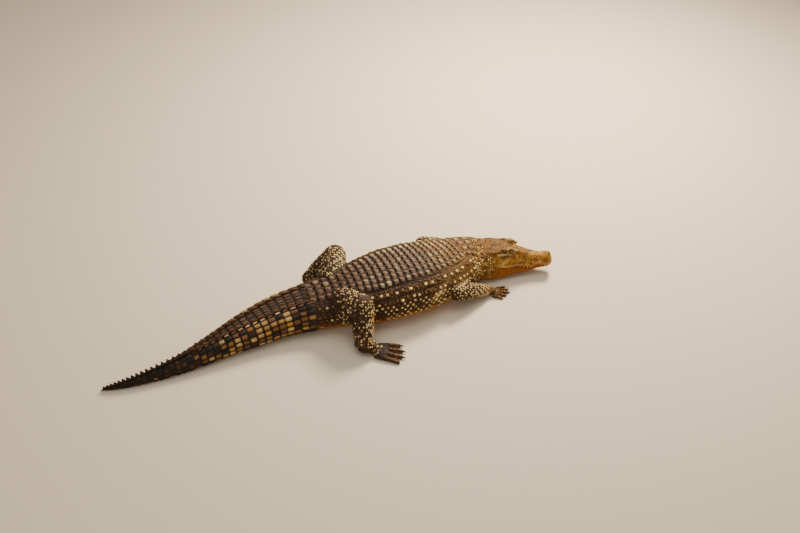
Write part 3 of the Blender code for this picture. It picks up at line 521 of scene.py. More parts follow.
def leg_bodies(kind, side):
    """Bodies of one leg: two bones, the palm and the toes."""
    leg = leg_joints(kind, side)
    upper, joint, lower, end, palm = (
        (THIGH, KNEE, SHANK, ANKLE, HIND_PALM) if kind == "hind"
        else (UPPER_ARM, ELBOW, FOREARM, WRIST, FORE_PALM))
    more = LIMB_FULL[kind]
    knee = [(leg.knee,) + joint]
    top = [(leg.root + (leg.knee - leg.root) * t, a, b) for t, a, b in upper] + knee
    low = knee + [(leg.knee + (leg.ankle - leg.knee) * t, a, b) for t, a, b in lower]
    top = [(p, a + more, b + more) for p, a, b in top]
    low = [(p, a + more, b + more) for p, a, b in low] + [(leg.ankle,) + end]
    sole = [(leg.ankle,) + end]
    for far, wide, tall in palm:
        centre = np.array([leg.ankle[0], leg.ankle[1], tall - 0.002]) + leg.ahead * far
        sole.append((centre, tall, wide))
    out = [rounded_tube(top, leg.axis, DEPTH_LIMB), rounded_tube(low, leg.axis, DEPTH_LIMB),
           rounded_tube(sole, leg.left, DEPTH_FOOT)]
    for toe in toe_lines(kind, side):
        sizes = [toe.thick, 0.5 * (toe.thick + toe.thin), toe.thin]
        bulge = [(p, r, 0.96 * r) for p, r in zip(toe.points, sizes)]
        out.append(rounded_tube(bulge, toe.left, -TOE_MORE[kind]))
    return out


def web_body(side):
    """The skin between the hind toes, as a thin plate."""
    toes = toe_lines("hind", side)
    back = leg_joints("hind", side).ahead * WEB_BACK
    rim = [toe.start + (toe.points[-1] - toe.start) * [WEB_SHARE, WEB_SHARE, 0.0]
           for toe in toes]
    rim = np.array([toes[0].start + back] + rim + [toes[-1].start + back])
    return sweep(np.stack([rim + [0, 0, z] for z in WEB_LEVELS]))


def remesh(bodies, size, name):
    """One closed surface around all the bodies, as numpy points and quads."""
    obj = mesh_object(name, *joined(bodies))
    face_outwards(obj.data)
    mod = obj.modifiers.new("skin", "REMESH")
    mod.mode = "VOXEL"
    mod.voxel_size = size
    mod.adaptivity = 0.0
    graph = bpy.context.evaluated_depsgraph_get()
    made = bpy.data.meshes.new_from_object(obj.evaluated_get(graph))
    old = obj.data
    bpy.data.objects.remove(obj)
    bpy.data.meshes.remove(old)
    co = get_points(made)
    quads = read(made.loops, "vertex_index", 1).reshape(-1, 4)
    bpy.data.meshes.remove(made)
    return co, quads


class Rounds:
    """Averages over neighbouring points, for smoothing positions and masks."""

    def __init__(self, mesh):
        e = read(mesh.edges, "vertices", 2)
        self.a = np.concatenate([e[:, 0], e[:, 1]])
        self.b = np.concatenate([e[:, 1], e[:, 0]])
        self.count = len(mesh.vertices)
        self.number = np.maximum(np.bincount(self.a, minlength=self.count), 1)

    def mean(self, values):
        """Mean of the neighbours' values, for one column or several."""
        if values.ndim == 1:
            return np.bincount(self.a, values[self.b], self.count) / self.number
        return np.stack([self.mean(values[:, i]) for i in range(values.shape[1])], 1)

    def soften(self, values, weight, times, both_ways=True):
        """Smooth the values; going both ways keeps thin parts from shrinking."""
        w = weight[:, None] if values.ndim > 1 else weight
        for _ in range(times):
            values = values + 0.5 * w * (self.mean(values) - values)
            if both_ways:
                values = values - 0.51 * w * (self.mean(values) - values)
        return values


def get_points(mesh):
    """The mesh's points as an array."""
    return read(mesh.vertices, "co")


def put_points(mesh, co):
    """Move the mesh's points."""
    mesh.vertices.foreach_set("co", np.asarray(co, np.float32).ravel())
    mesh.update()


def get_normals(mesh):
    """Normals at the mesh's points."""
    return read(mesh.vertex_normals, "vector")


def refine(mesh, wanted):
    """Halve the faces whose centres are wanted, so that fine folds can be shaped there."""
    pick = np.nonzero(wanted(read(mesh.polygons, "center")))[0]
    bm = bmesh.new()
    bm.from_mesh(mesh)
    bm.faces.ensure_lookup_table()
    edges = list({e for i in pick for e in bm.faces[i].edges})
    bmesh.ops.subdivide_edges(bm, edges=edges, cuts=1, use_grid_fill=True)
    bmesh.ops.triangulate(bm, faces=[f for f in bm.faces if len(f.verts) > 4])
    bm.to_mesh(mesh)
    bm.free()
    mesh.update()


def leg_share(co):
    """How far each point belongs to a leg, 0 to 1, and its place along and beside the spine."""
    share = np.zeros(len(co))
    s, side = along_spine(co)
    half = 0.5 * curve(WIDTH, s)
    level = WIDEST * curve(HEIGHT, s)
    above = co[:, 2] >= level
    power = np.where(above, TOP_POWER, LOW_POWER)
    rise = np.where(above, curve(HEIGHT, s) - level, level + BELLY_SINK)
    r = (np.abs(side) / half) ** power + (np.abs(co[:, 2] - level) / rise) ** power
    out = (r ** (1 / power) - 1.0) * np.minimum(half, rise)
    body = (s > 0.40) & (s < 1.45)
    share[body] = ramp(out[body], 0.002, 0.010)
    for turn in (1, -1):
        arm = leg_joints("fore", turn)
        for a, b in ((arm.knee, arm.ankle), (arm.ankle, arm.ankle + HAND_REACH * arm.ahead)):
            d = b - a
            t = np.clip(((co - a) @ d) / (d @ d), 0, 1)
            far = np.linalg.norm(co - a - t[:, None] * d, axis=1)
            share[(far < ARM_REACH) & ~body] = 1.0
    return share, s, side


def flesh_bodies():
    """Every body that the skin is made from."""
    bodies = [sweep(trunk_rings(NECK_START - 0.004, LENGTH - 0.0015, RING_STEP, TRUNK_SIDES,
                                DEPTH_BODY)),
              sweep(skull_rings(False, -DEPTH_HEAD)), sweep(skull_rings(True, -DEPTH_HEAD))]
    turn = np.radians(HEADING[0][1])
    nose_z = float(curve(HEAD_TOP, NOSE_U)) - 0.60 * NOSE_SIZE[2]
    bodies.append(ball(head_point(NOSE_U, 0.0, nose_z), np.array(NOSE_SIZE) - DEPTH_HEAD, turn))
    for side in (1, -1):
        brow = head_point(EYE_U + 0.003, side * (EYE_SIDE - 0.0065), EYE_Z - 0.0015)
        lean = turn + side * np.radians(8.0)
        bodies.append(ball(brow, np.array(BROW_SIZE) - DEPTH_HEAD, lean))
        bodies.append(ball(eye_centre(side), [EYE_R - 0.001] * 3))
        for u, out, z, size in BROW_ENDS:
            bodies.append(ball(head_point(u, side * out, z), size, turn))
        for kind in ("hind", "fore"):
            bodies += leg_bodies(kind, side)
        bodies.append(web_body(side))
    return bodies


def build_skin():
    """The whole skin: one remesh of the bodies, soft blends between them, then the head."""
    co, quads = remesh(flesh_bodies(), VOXEL, "skin_source")
    obj = grid_mesh("skin", co, quads)
    mesh = obj.data
    rounds = Rounds(mesh)
    ones = np.ones(len(co))
    co = rounds.soften(co, ones, FIRST_ROUNDS)
    share = leg_share(co)[0]
    crease = rounds.soften(share * (1 - share) * 4, ones, 10, False)
    co = rounds.soften(co, np.clip(crease * 1.6, 0, 1), CREASE_ROUNDS, False)
    u, _, z = head_coords(co)
    nape = ramp(u, 0.335, 0.365) * ramp(u, 0.425, 0.395) * (1 - share)
    co = rounds.soften(co, nape, NAPE_ROUNDS, False)
    near = np.zeros(len(co))
    for turn in (1, -1):
        far = np.linalg.norm(co - eye_centre(turn), axis=1)
        near = np.maximum(near, ramp(far, 0.052, 0.034) * (z > 0.12))
    nose = 0.7 * ramp(u, 0.070, 0.045) * (z > 0.085) * (share < 0.5) * (u < 0.1)
    co = rounds.soften(co, np.maximum(near, nose), BROW_ROUNDS, False)
    put_points(mesh, co)
    refine(mesh, is_head)
    refine(mesh, is_fine)
    rounds = Rounds(mesh)
    co = get_points(mesh)
    put_points(mesh, rounds.soften(co, is_head(co) * 0.8, FINE_ROUNDS))
    shape_head(mesh)
    shape_folds(mesh)
    co = get_points(mesh)
    co[:, 2] = np.maximum(co[:, 2], FLOOR_GAP)
    put_points(mesh, co)
    return obj, rounds


# ---------------------------------------------------------------- the head's forms
MOUTH_END = 0.318      # the corner of the mouth
LID = 0.0015           # how far the eyelids stand off the eye
EAR = (0.252, 0.300)   # the ear slit, from front to back
EAR_DROP = 0.0165      # how far the slit lies below the top of the head
NOSTRIL_U = 0.0185
NOSTRIL_SIDE = 0.0085
NOSTRIL_HALF = 0.0024
SNOUT_FULL = 0.010     # how much the flesh of the snout stands above the bare bone's line


def is_head(co):
    """Whether points are on the head, in front of the nape."""
    u, side, _ = head_coords(co)
    return (u < 0.372) & (np.abs(side) < 0.15)


def eye_centre(side):
    """Middle of one eye."""
    return head_point(EYE_U, side * EYE_SIDE, EYE_Z)


def eye_frame(side):
    """The way an eye looks, its forward direction and its up direction."""
    out = unit(HEAD_L * side + HEAD_A * 0.22 + np.array([0, 0, 0.30]))
    ahead = unit(HEAD_A - out * (HEAD_A @ out))
    return out, ahead, np.cross(out, ahead) * (1 if np.cross(out, ahead)[2] > 0 else -1)


def is_fine(co):
    """Whether points are near the eyes, the nostrils, the ears or the line of the mouth."""
    u, side, z = head_coords(co)
    fine = (u < 0.045) & (z > 0.095)
    fine |= (np.abs(z - curve(MOUTH, u)) < 0.006) & (u < MOUTH_END + 0.01) & (np.abs(side) > 0.01)
    ear = (u > EAR[0] - 0.006) & (u < EAR[1] + 0.006) & (z > 0.140) & (np.abs(side) > 0.040)
    for turn in (1, -1):
        fine |= np.linalg.norm(co - eye_centre(turn), axis=1) < EYE_R + 0.011
    return (fine | ear) & (u < 0.36)


def carve_eye(co, side):
    """Open the lids over one eye, and fold the skin round them."""
    centre = eye_centre(side)
    out, ahead, up = eye_frame(side)
    v = co - centre
    far = np.linalg.norm(v, axis=1)
    near = far < EYE_R + 0.016
    d = v / np.maximum(far, 1e-9)[:, None]
    a = d @ out
    h = d @ ahead
    k = d @ up
    wide = 0.86
    arch = np.sqrt(np.clip(1 - (h / wide) ** 2, 0, 1))
    high = np.where(k > 0, 0.50, 0.42) * arch ** 1.2
    edge = np.where(np.abs(h) < wide, np.abs(k) - high, np.hypot(np.abs(h) - wide, k))
    inside = near & (a > 0) & (edge < 0) & (np.abs(h) < wide)
    radius = far.copy()
    soft = ramp(edge, 0.75, 0.12) * (a > -0.2)
    fold = 0.0007 * np.cos(edge * EYE_R / 0.0034 * 2 * np.pi) * ramp(edge, 0.02, 0.2)
    lid = np.maximum(far, EYE_R + LID + fold)
    radius = np.where(near & ~inside, far * (1 - soft) + (lid + fold) * soft, radius)
    radius = np.where(inside, EYE_R - 0.0030, radius)
    return np.where(near[:, None], centre + d * radius[:, None], co)


def ear_span(u, out, within):
    """1 along the ear and 0 beyond it; the change starts out of its ends and ends within."""
    return (ramp(u, EAR[0] - out, EAR[0] + within) * ramp(u, EAR[1] + out, EAR[1] - within))


def nostril(u, side, turn, long):
    """Place of points round one nostril, in shares of its half sizes along and across."""
    along = u - NOSTRIL_U
    return along / long, (side - turn * (NOSTRIL_SIDE + 0.25 * along)) / NOSTRIL_HALF


def snout_ribs(co, u):
    """Uneven waves along the snout, -1 to 1, that its wrinkles and dark lines share."""
    return np.sin(u / 0.0125 * 2 * np.pi + 7 * hash_noise(co, 0.03, 12))


# Depths and heights of the head's relief
MOUTH_DEEP = 0.0026
LIP_RISE = 0.0009
TOOTH_RISE = 0.0013
CORNER_RISE = 0.0011
PITS_TOP = 0.0024
PITS_SIDE = 0.0010
CANTHAL_RISE = 0.0026
TABLE_RISE = 0.0022
BROW_DIP = 0.0030
EAR_DEEP = 0.0034
EAR_FLAP_RISE = 0.0014
NOSTRIL_RISE = 0.0009
NOSTRIL_DEEP = 0.0042
CHEEK_RISE = 0.0005
RIB_DEEP = 0.0008


def add_mouth(push, u, over, lateral):
    """The line of the shut mouth, lips bulging over the teeth, and folds at its corner."""
    shut = ramp(u, MOUTH_END + 0.010, MOUTH_END - 0.010)
    push += -MOUTH_DEEP * bell(over, 0.0016) * lateral * shut
    push += LIP_RISE * bell(over - 0.0052, 0.0030) * lateral * shut
    wave = np.zeros(len(u))
    for at in TEETH_U:
        wave += bell(u - at, 0.0048)
    push += TOOTH_RISE * wave * bell(over - 0.0060, 0.0055) * lateral * shut
    crease = np.sin((over - 0.10 * (u - 0.28)) / 0.0065 * 2 * np.pi)
    corner = np.exp(-((u - 0.290) / 0.030) ** 2 - ((over - 0.012) / 0.012) ** 2)
    push += CORNER_RISE * crease * corner * lateral


def add_skull(push, co, u, flat, on_top):
    """Pitted bone on top, ridges before the eyes, the rim of the skull's table, a dip inside."""
    bone = hash_noise(co, 0.0085, 21) - 0.5
    bone += 0.6 * (hash_noise(co, 0.0042, 22) - 0.5)
    push += PITS_TOP * bone * on_top * ramp(u, 0.03, 0.07)
    push += PITS_SIDE * (hash_noise(co, 0.010, 23) - 0.5) * (1 - on_top)
    canthal = bell(flat - (0.014 + 0.11 * (u - 0.10)), 0.0048)
    push += CANTHAL_RISE * canthal * ramp(u, 0.105, 0.150) * ramp(u, 0.222, 0.195) * on_top
    rim = bell(flat - curve(TABLE_HALF, u), 0.0050) * ramp(u, 0.235, 0.262) * on_top
    push += TABLE_RISE * rim
    push -= BROW_DIP * bell(flat, 0.016) * bell(u - 0.226, 0.020) * on_top


def add_ears_and_nose(push, u, side, z, on_top):
    """The slit and flap of each ear, and the nostrils with their raised rings."""
    flat = np.abs(side)
    top = curve(HEAD_TOP, u)
    slit = bell(z - (top - EAR_DROP), 0.0017)
    slit *= ear_span(u, 0.003, 0.004)
    push -= EAR_DEEP * slit * (flat > 0.045)
    flap = bell(z - (top - 0.0110), 0.0034)
    flap *= ear_span(u, 0.010, 0.006)
    push += EAR_FLAP_RISE * flap * (flat > 0.040)
    for turn in (1, -1):
        du, ds = nostril(u, side, turn, 0.0042)
        hole = np.exp(-(du ** 2 + ds ** 2) ** 1.5)
        ring = bell(np.sqrt(du ** 2 + ds ** 2) - 1.7, 0.6)
        push += (NOSTRIL_RISE * ring - NOSTRIL_DEEP * hole) * on_top * (u < 0.05)


def shape_head(mesh):
    """Mouth line, lids, ears, nostrils, ridges and the worn relief of the skull."""
    co = get_points(mesh)
    n = get_normals(mesh)
    u, side, z = head_coords(co)
    face = is_head(co).astype(float) * ramp(u, 0.372, 0.345)
    over = z - curve(MOUTH, u)
    on_top = ramp(n[:, 2], 0.45, 0.85)
    push = np.zeros(len(co))
    add_mouth(push, u, over, ramp(np.hypot(n @ HEAD_L, n @ HEAD_A), 0.35, 0.75))
    add_skull(push, co, u, np.abs(side), on_top)
    add_ears_and_nose(push, u, side, z, on_top)
    cheek = np.sin(u / 0.011 * 2 * np.pi + 9 * hash_noise(co, 0.04, 31))
    push += CHEEK_RISE * cheek * ramp(u, 0.24, 0.30) * (1 - on_top)
    push -= (RIB_DEEP * snout_ribs(co, u) * (1 - 0.6 * on_top)
             * ramp(u, 0.07, 0.10) * ramp(u, 0.23, 0.19))
    co = co + n * (push * face)[:, None]
    full = ramp(over, 0.004, 0.028) * ramp(u, 0.001, 0.016) * ramp(u, 0.216, 0.160)
    co[:, 2] += SNOUT_FULL * full * face
    for turn in (1, -1):
        co = carve_eye(co, turn)
    put_points(mesh, co)


NECK_RISE = 0.0030      # heights of the waves over neck and flank
LAP_RISE = 0.0016
BELLY_FOLD = 0.0030     # depth of the long fold above the belly
FOLDS = ((0.010, 0.0046), (0.065, 0.0036), (0.098, 0.0016))   # beside the shield: place, depth


def shape_folds(mesh):
    """Folds of the neck, the flanks and the pits of the legs."""
    co = get_points(mesh)
    n = get_normals(mesh)
    share, s, side = leg_share(co)
    down = np.abs(round_body(s, side, co[:, 2])) / np.pi
    drift = hash_noise(co, 0.09, 41) - 0.5
    neck = np.sin((s + 0.02 * drift + 0.015 * down) / 0.036 * 2 * np.pi)
    push = (NECK_RISE * neck * ramp(s, NECK_START, 0.40) * ramp(s, 0.56, 0.50)
            * ramp(down, 0.30, 0.5))
    lap = np.sin((s + 0.03 * drift - 0.10 * down) / 0.058 * 2 * np.pi)
    push += LAP_RISE * lap * ramp(s, 0.56, 0.66) * ramp(s, 1.30, 1.15) * ramp(down, 0.40, 0.55)
    place = girth_place(s, side, co[:, 2]) - curve(SHIELD, s)
    for at, deep in FOLDS:
        line = bell(place - at - 0.010 * drift, 0.0044)
        line *= 0.25 + 0.75 * ramp(hash_noise(co, 0.050, 42), 0.25, 0.65)
        push -= deep * line * ramp(s, 0.50, 0.58) * ramp(s, 1.36, 1.22)
    line = bell(down - 0.640 - 0.02 * drift, 0.014)
    push -= BELLY_FOLD * line * ramp(s, 0.50, 0.58) * ramp(s, 1.36, 1.22)
    push *= (1 - share) * ramp(s, NECK_START, 0.40) * (co[:, 2] > 0.006)
    put_points(mesh, co + n * push[:, None])


# ---------------------------------------------------------------- colours
RICH = 1.15            # the view transform greys colours a little, so they are stored richer


def srgb(r, g, b):
    """Linear colour from everyday values 0 to 255."""
    v = np.array([r, g, b], float) / 255.0
    v = np.where(v <= 0.04045, v / 12.92, ((v + 0.055) / 1.055) ** 2.4)
    grey = v @ np.array([0.2126, 0.7152, 0.0722])
    return np.maximum(grey + RICH * (v - grey), 0.0)


DARK = srgb(46, 28, 13)
DEEP = srgb(22, 15, 9)
BROWN = srgb(92, 58, 29)
UMBER = srgb(118, 82, 54)
LILAC = srgb(158, 124, 106)
OCHRE = srgb(182, 130, 60)
CREAM = srgb(246, 222, 164)
TAN = srgb(200, 138, 72)
ORANGE = srgb(160, 104, 56)
PALE = srgb(230, 194, 138)
GOLD = srgb(182, 136, 70)
RUST = srgb(108, 66, 40)
HONEY = srgb(178, 118, 52)
AMBER = srgb(160, 98, 44)
STRAW = srgb(214, 168, 98)


def mix(a, b, t):
    """Blend of two colours, or arrays of them, by t."""
    t = np.asarray(t, float)[..., None]
    return a * (1 - t) + b * t


def hash_noise(points, size, seed):
    """Smooth noise from 0 to 1 at world points, with features about size across."""
    q = np.asarray(points) / size
    base = np.floor(q).astype(np.int64)
    f = q - base
    f = f * f * (3 - 2 * f)
    out = np.zeros(len(q))
    for dx in (0, 1):
        for dy in (0, 1):
            for dz in (0, 1):
                h = (base[:, 0] + dx) * 73856093 ^ (base[:, 1] + dy) * 19349663
                h = h ^ (base[:, 2] + dz) * 83492791 ^ seed * 2654435761
                h = (h ^ (h >> 13)) * 1274126177
                v = ((h ^ (h >> 16)) & 0xFFFF) / 65535.0
                w = np.where(dx, f[:, 0], 1 - f[:, 0]) * np.where(dy, f[:, 1], 1 - f[:, 1])
                out += v * w * np.where(dz, f[:, 2], 1 - f[:, 2])
    return out


# ---------------------------------------------------------------- coat
CROWD = 0.60           # scales nearer than this share of their joint size leave one out
STAIN = 0.75           # how much the tone drifts over and between scales
STAIN_SIZE = 0.012
RIM_FADE = 0.22        # how softly a scale's rim colour changes to its top colour
UV_SPAN = 0.0014       # half size of a scale on the unwrap
FOOT_SINK = 0.0012     # how deep a scale's rim stands in the skin,
BASE_SINK = 0.0014     # and the middle of its base
SCALE_LOW = 0.0006     # no scale comes nearer to the floor
PLAIN = {"power": 2.6, "edge": 0.0010, "dome": 0.0025, "keel": 0.0, "tilt": 0.0, "top": CREAM,
         "rim": DARK, "core": 0.75, "streak": 0.0}    # a scale where nothing else is said

# Kinds of scale.  power: 2 is oval, more is squarer; edge, dome, keel and tilt: heights of the
# rim, the middle, the ridge and the raised hind end; core: share of the top in its own colour;
# streak: how much lighter the ridge is painted, a painted highlight along the keel.
SCUTE = dict(power=3.4, edge=0.0010, dome=0.0016, keel=0.0096, tilt=0.0016, core=0.73,
             streak=0.56, rim=DEEP)
NAPE_SHIELD = dict(power=3.4, edge=0.0014, dome=0.0016, keel=0.0115, core=0.72, streak=0.60,
                   rim=DARK)
NECK_PLATE = dict(power=2.6, edge=0.0008, keel=0.0030, streak=0.4, rim=DARK)
KNOB = dict(power=2.3, edge=0.0009, dome=0.0056, core=0.72, rim=DEEP)
SMALL_SCALE = dict(power=2.3, edge=0.0005, dome=0.0015, core=0.60, rim=DEEP)
FLANK_DOT = dict(edge=0.0007, core=0.68)
FLANK_GRAIN = dict(power=2.2, edge=0.0004, dome=0.0013, core=0.60)
BELLY_PLATE = dict(power=3.8, edge=0.0007, dome=0.0008, core=0.85)
NECK_DOT = dict(edge=0.0008, core=0.68)
TAIL_PLATE = dict(power=4.6, edge=0.0010, dome=0.0011, core=0.75, streak=0.25, rim=DEEP)
TAIL_TOP = dict(power=3.6, edge=0.0009, dome=0.0013, keel=0.0036, streak=0.60, rim=DEEP)
CREST_KNOB = dict(power=2.7, edge=0.0012, dome=0.0034, core=0.74, rim=DEEP)
LIMB_SCALE = dict(edge=0.0005, core=0.62)
FOOT_SCALE = dict(power=2.3, edge=0.0004, dome=0.0013, core=0.56, rim=DEEP)
TOE_PLATE = dict(power=3.2, edge=0.0005, dome=0.0007, core=0.80, rim=DEEP)
JOWL_SCALE = dict(power=2.5, edge=0.0006, core=0.66)
FACE_SCALE = dict(power=2.7, edge=0.0003, core=0.80)
FILL_SCALE = dict(power=2.3, edge=0.0004, dome=0.0013, core=0.62, rim=DEEP)


def spread(key, value, count):
    """One value, or one colour, for each of count scales."""
    shape = (count, 3) if key in ("top", "rim") else (count,)
    return np.broadcast_to(np.asarray(value, float), shape).copy()


def scale_faces(rings, sides):
    """Quads and triangles of one scale: rings from the rim inwards, top point, base point."""
    k = np.arange(sides)
    m = (k + 1) % sides
    last = (rings - 1) * sides
    quads = [np.stack([a + k, a + m, a + sides + m, a + sides + k], 1)
             for a in range(0, last, sides)]
    tris = [np.stack([last + k, last + m, np.full(sides, last + sides)], 1),
            np.stack([m, k, np.full(sides, last + sides + 1)], 1)]
    return np.concatenate(quads), np.concatenate(tris)


class Coat:
    """Scales of one piece of the coat, gathered as rows of numbers and then built."""

    def __init__(self, name):
        self.name = name
        self.items = []

    def add(self, root, ahead, normal, long, wide, **more):
        """One set of scales; single values are repeated for the whole set."""
        if not len(root):
            return
        item = {key: spread(key, value, len(root))
                for key, value in {**PLAIN, "long": long, "wide": wide, **more}.items()}
        item.update(root=root, ahead=np.broadcast_to(ahead, root.shape), normal=normal)
        self.items.append(item)

    def thin(self, taken):
        """Leave out scales that would stand inside one placed before, here or in taken."""
        it = {k: np.concatenate([i[k] for i in self.items]) for k in self.items[0]}
        old = len(taken["root"])
        roots = np.vstack([taken["root"], it["root"]])
        sizes = np.concatenate([taken["size"], 0.5 * (it["long"] + it["wide"])])
        tree = point_tree(roots)
        keep = np.ones(len(roots), bool)
        for i in range(len(roots)):
            if not keep[i]:
                continue
            for _, j, far in tree.find_range(roots[i], CROWD * (sizes[i] + 0.02)):
                if j > i and j >= old and far < CROWD * (sizes[i] + sizes[j]):
                    keep[j] = False
        taken["root"] = roots[keep]
        taken["size"] = sizes[keep]
        self.items = [{k: v[keep[old:]] for k, v in it.items()}]

    def build(self, tree, sides, shares, unwrap):
        """The piece: every scale a closed small body whose foot follows the skin."""
        it = {k: v if v.ndim == 2 else v[:, None] for k, v in self.items[0].items()}
        root = it["root"]
        n = unit(it["normal"])
        f = unit(it["ahead"] - (it["ahead"] * n).sum(1, keepdims=True) * n)
        l = np.cross(n, f)
        a = np.linspace(0, 2 * np.pi, sides, endpoint=False)
        p = 2 / it["power"]
        cx = np.sign(np.cos(a)) * np.abs(np.cos(a)) ** p
        cy = np.sign(np.sin(a)) * np.abs(np.sin(a)) ** p
        flat = (f[:, None] * (cx * it["long"])[..., None]
                + l[:, None] * (cy * it["wide"])[..., None])
        rim = root[:, None] + flat
        hit, turn = feet(tree, rim, n, 0.75 * np.minimum(it["long"], it["wide"])[:, 0])
        bend = hit - rim
        turn = unit(turn + 0.4 * n[:, None])
        rows, colours, places = [], [], []
        uv = unwrap(root)
        for share in shares:
            at = root[:, None] + flat * share + bend * share ** 2
            out = unit(n[:, None] * (1 - share) + turn * share)
            x, y = cx * share, cy * share
            ridge = np.clip(1 - np.abs(y) / 0.44, 0, 1) ** 1.2
            rise = np.clip(0.72 - 0.55 * x, 0, 1.3) * (1 - share ** 4)
            high = it["edge"] + it["dome"] * (1 - share ** 2) ** 0.8
            high = high + it["keel"] * ridge * rise
            high = high + it["tilt"] * np.clip(-x, -0.6, 1)
            if share == 1.0:
                high = np.full_like(high, -FOOT_SINK)
            rows.append(at + out * high[..., None])
            t = ramp(share, it["core"] + RIM_FADE, it["core"] - RIM_FADE)
            # Painted highlight: the top colour stays lightest along a keel's ridge and toward its
            # raised hind end; away from the ridge it leans toward the rim colour.
            light = t * (1 - it["streak"]
                         + it["streak"] * ridge * np.clip(0.8 - 0.5 * x, 0, 1))
            colours.append(mix(it["rim"][:, None], it["top"][:, None], light))
            places.append(uv[:, None] + UV_SPAN * np.stack([x, y], -1))
        top = (it["edge"] + it["dome"] + 0.72 * it["keel"]) * n + root

        def packed(layers, above, below):
            """All layers of each scale in one row, then its top and its base."""
            body = np.stack(layers, 1).reshape(len(n), -1, layers[0].shape[-1])
            return np.concatenate([body, above[:, None], below[:, None]], 1)

        verts = packed(rows, top, root - BASE_SINK * n)
        cols = packed(colours, it["top"], it["rim"])
        verts[..., 2] = np.maximum(verts[..., 2], SCALE_LOW)
        stain = hash_noise(verts.reshape(-1, 3), STAIN_SIZE, 15).reshape(cols.shape[:2])
        cols = np.minimum(cols * (1 + STAIN * (stain - 0.5))[..., None], 1.0)
        quads, tris = scale_faces(len(shares), sides)
        shift = (np.arange(len(n)) * verts.shape[1])[:, None, None]
        obj = grid_mesh(self.name, verts.reshape(-1, 3), (quads[None] + shift).reshape(-1, 4),
                        (tris[None] + shift).reshape(-1, 3))
        paint(obj.data, cols.reshape(-1, 3))
        set_uv(obj.data, packed(places, uv, uv).reshape(-1, 2))
        obj.data.shade_smooth()
        return obj


def feet(tree, rim, n, reach):
    """Skin points and normals under the rims of scales, or the rims where no skin is near."""
    hit = rim.copy()
    turn = np.repeat(n[:, None], rim.shape[1], 1)
    for i in range(len(rim)):
        for k in range(rim.shape[1]):
            spot, norm, _, far = tree.find_nearest(rim[i, k])
            if spot is not None and far <= reach[i]:
                hit[i, k] = spot
                turn[i, k] = norm
    return hit, turn


def point_tree(points):
    """A tree for finding the points that are near a place."""
    tree = KDTree(len(points))
    for i, point in enumerate(points):
        tree.insert(point, i)
    tree.balance()
    return tree


def paint(mesh, colours):
    """Store one colour for each point."""
    att = mesh.color_attributes.new("hue", "FLOAT_COLOR", "POINT")
    rgba = np.ones((len(colours), 4), np.float32)
    rgba[:, :3] = colours
    att.data.foreach_set("color", rgba.ravel())


def set_uv(mesh, places):
    """Store one place on the unwrap for each point, as the map OFBake."""
    layer = mesh.uv_layers.new(name="OFBake")
    loops = read(mesh.loops, "vertex_index", 1)
    layer.data.foreach_set("uv", places[loops].astype(np.float32).ravel())


GIRTH_STEP = 0.01      # spacing of the sections whose girth is measured
GIRTH_POINTS = 181


def girth_table(s):
    """Distance over the skin from the back's middle line, for shares of the section at s."""
    share = np.linspace(0.0, 0.5, GIRTH_POINTS)
    x, z = section(np.full(GIRTH_POINTS, s), share, DEPTH_BODY)
    d = np.concatenate([[0.0], np.cumsum(np.hypot(np.diff(x), np.diff(z)))])
    return d, share


def girth(s):
    """Distance over the skin from the back's middle line to the belly's, at s."""
    return girth_table(s)[0][-1]


def girth_place(s, side, z):
    """Distance over the skin from the back's middle line, for points anywhere on the trunk."""
    row = np.clip(np.round(s / GIRTH_STEP).astype(int), 0, int(LENGTH / GIRTH_STEP))
    angle = np.abs(round_body(s, side, z))
    out = np.zeros(len(s))
    for r in np.unique(row):
        at = row == r
        d, share = girth_table(GIRTH_STEP * r)
        x, h = section(np.full(len(share), GIRTH_STEP * r), share, DEPTH_BODY)
        out[at] = np.interp(angle[at], np.abs(round_body(GIRTH_STEP * r, x, h)), d)
    return out


def body_points(s, d, side):
    """Points, forward directions and normals of the trunk at distances d down one side."""
    table, share = girth_table(s)
    t = np.interp(d, table, share)
    out = []
    for ds, dt in ((0, 0), (0.002, 0), (0, 0.002)):
        x, z = section(np.full(len(t), s + ds), t + dt, DEPTH_BODY)
        p, _, left = spine(np.full(len(t), s + ds))
        q = p + left * (x * side)[:, None]
        q[:, 2] += z
        out.append(q)
    along = unit(out[0] - out[1])
    down = unit(out[2] - out[0])
    return out[0], along, unit(np.cross(down, along) * -side)


def hollows(mesh, rounds):
    """How deep each point lies in a broad hollow of the skin, 0 to 1; shade is painted there."""
    co = get_points(mesh)
    n = get_normals(mesh)
    wide = rounds.soften(co, np.ones(len(co)), 30, False)
    return ramp(((wide - co) * n).sum(1), 0.0006, 0.0045)


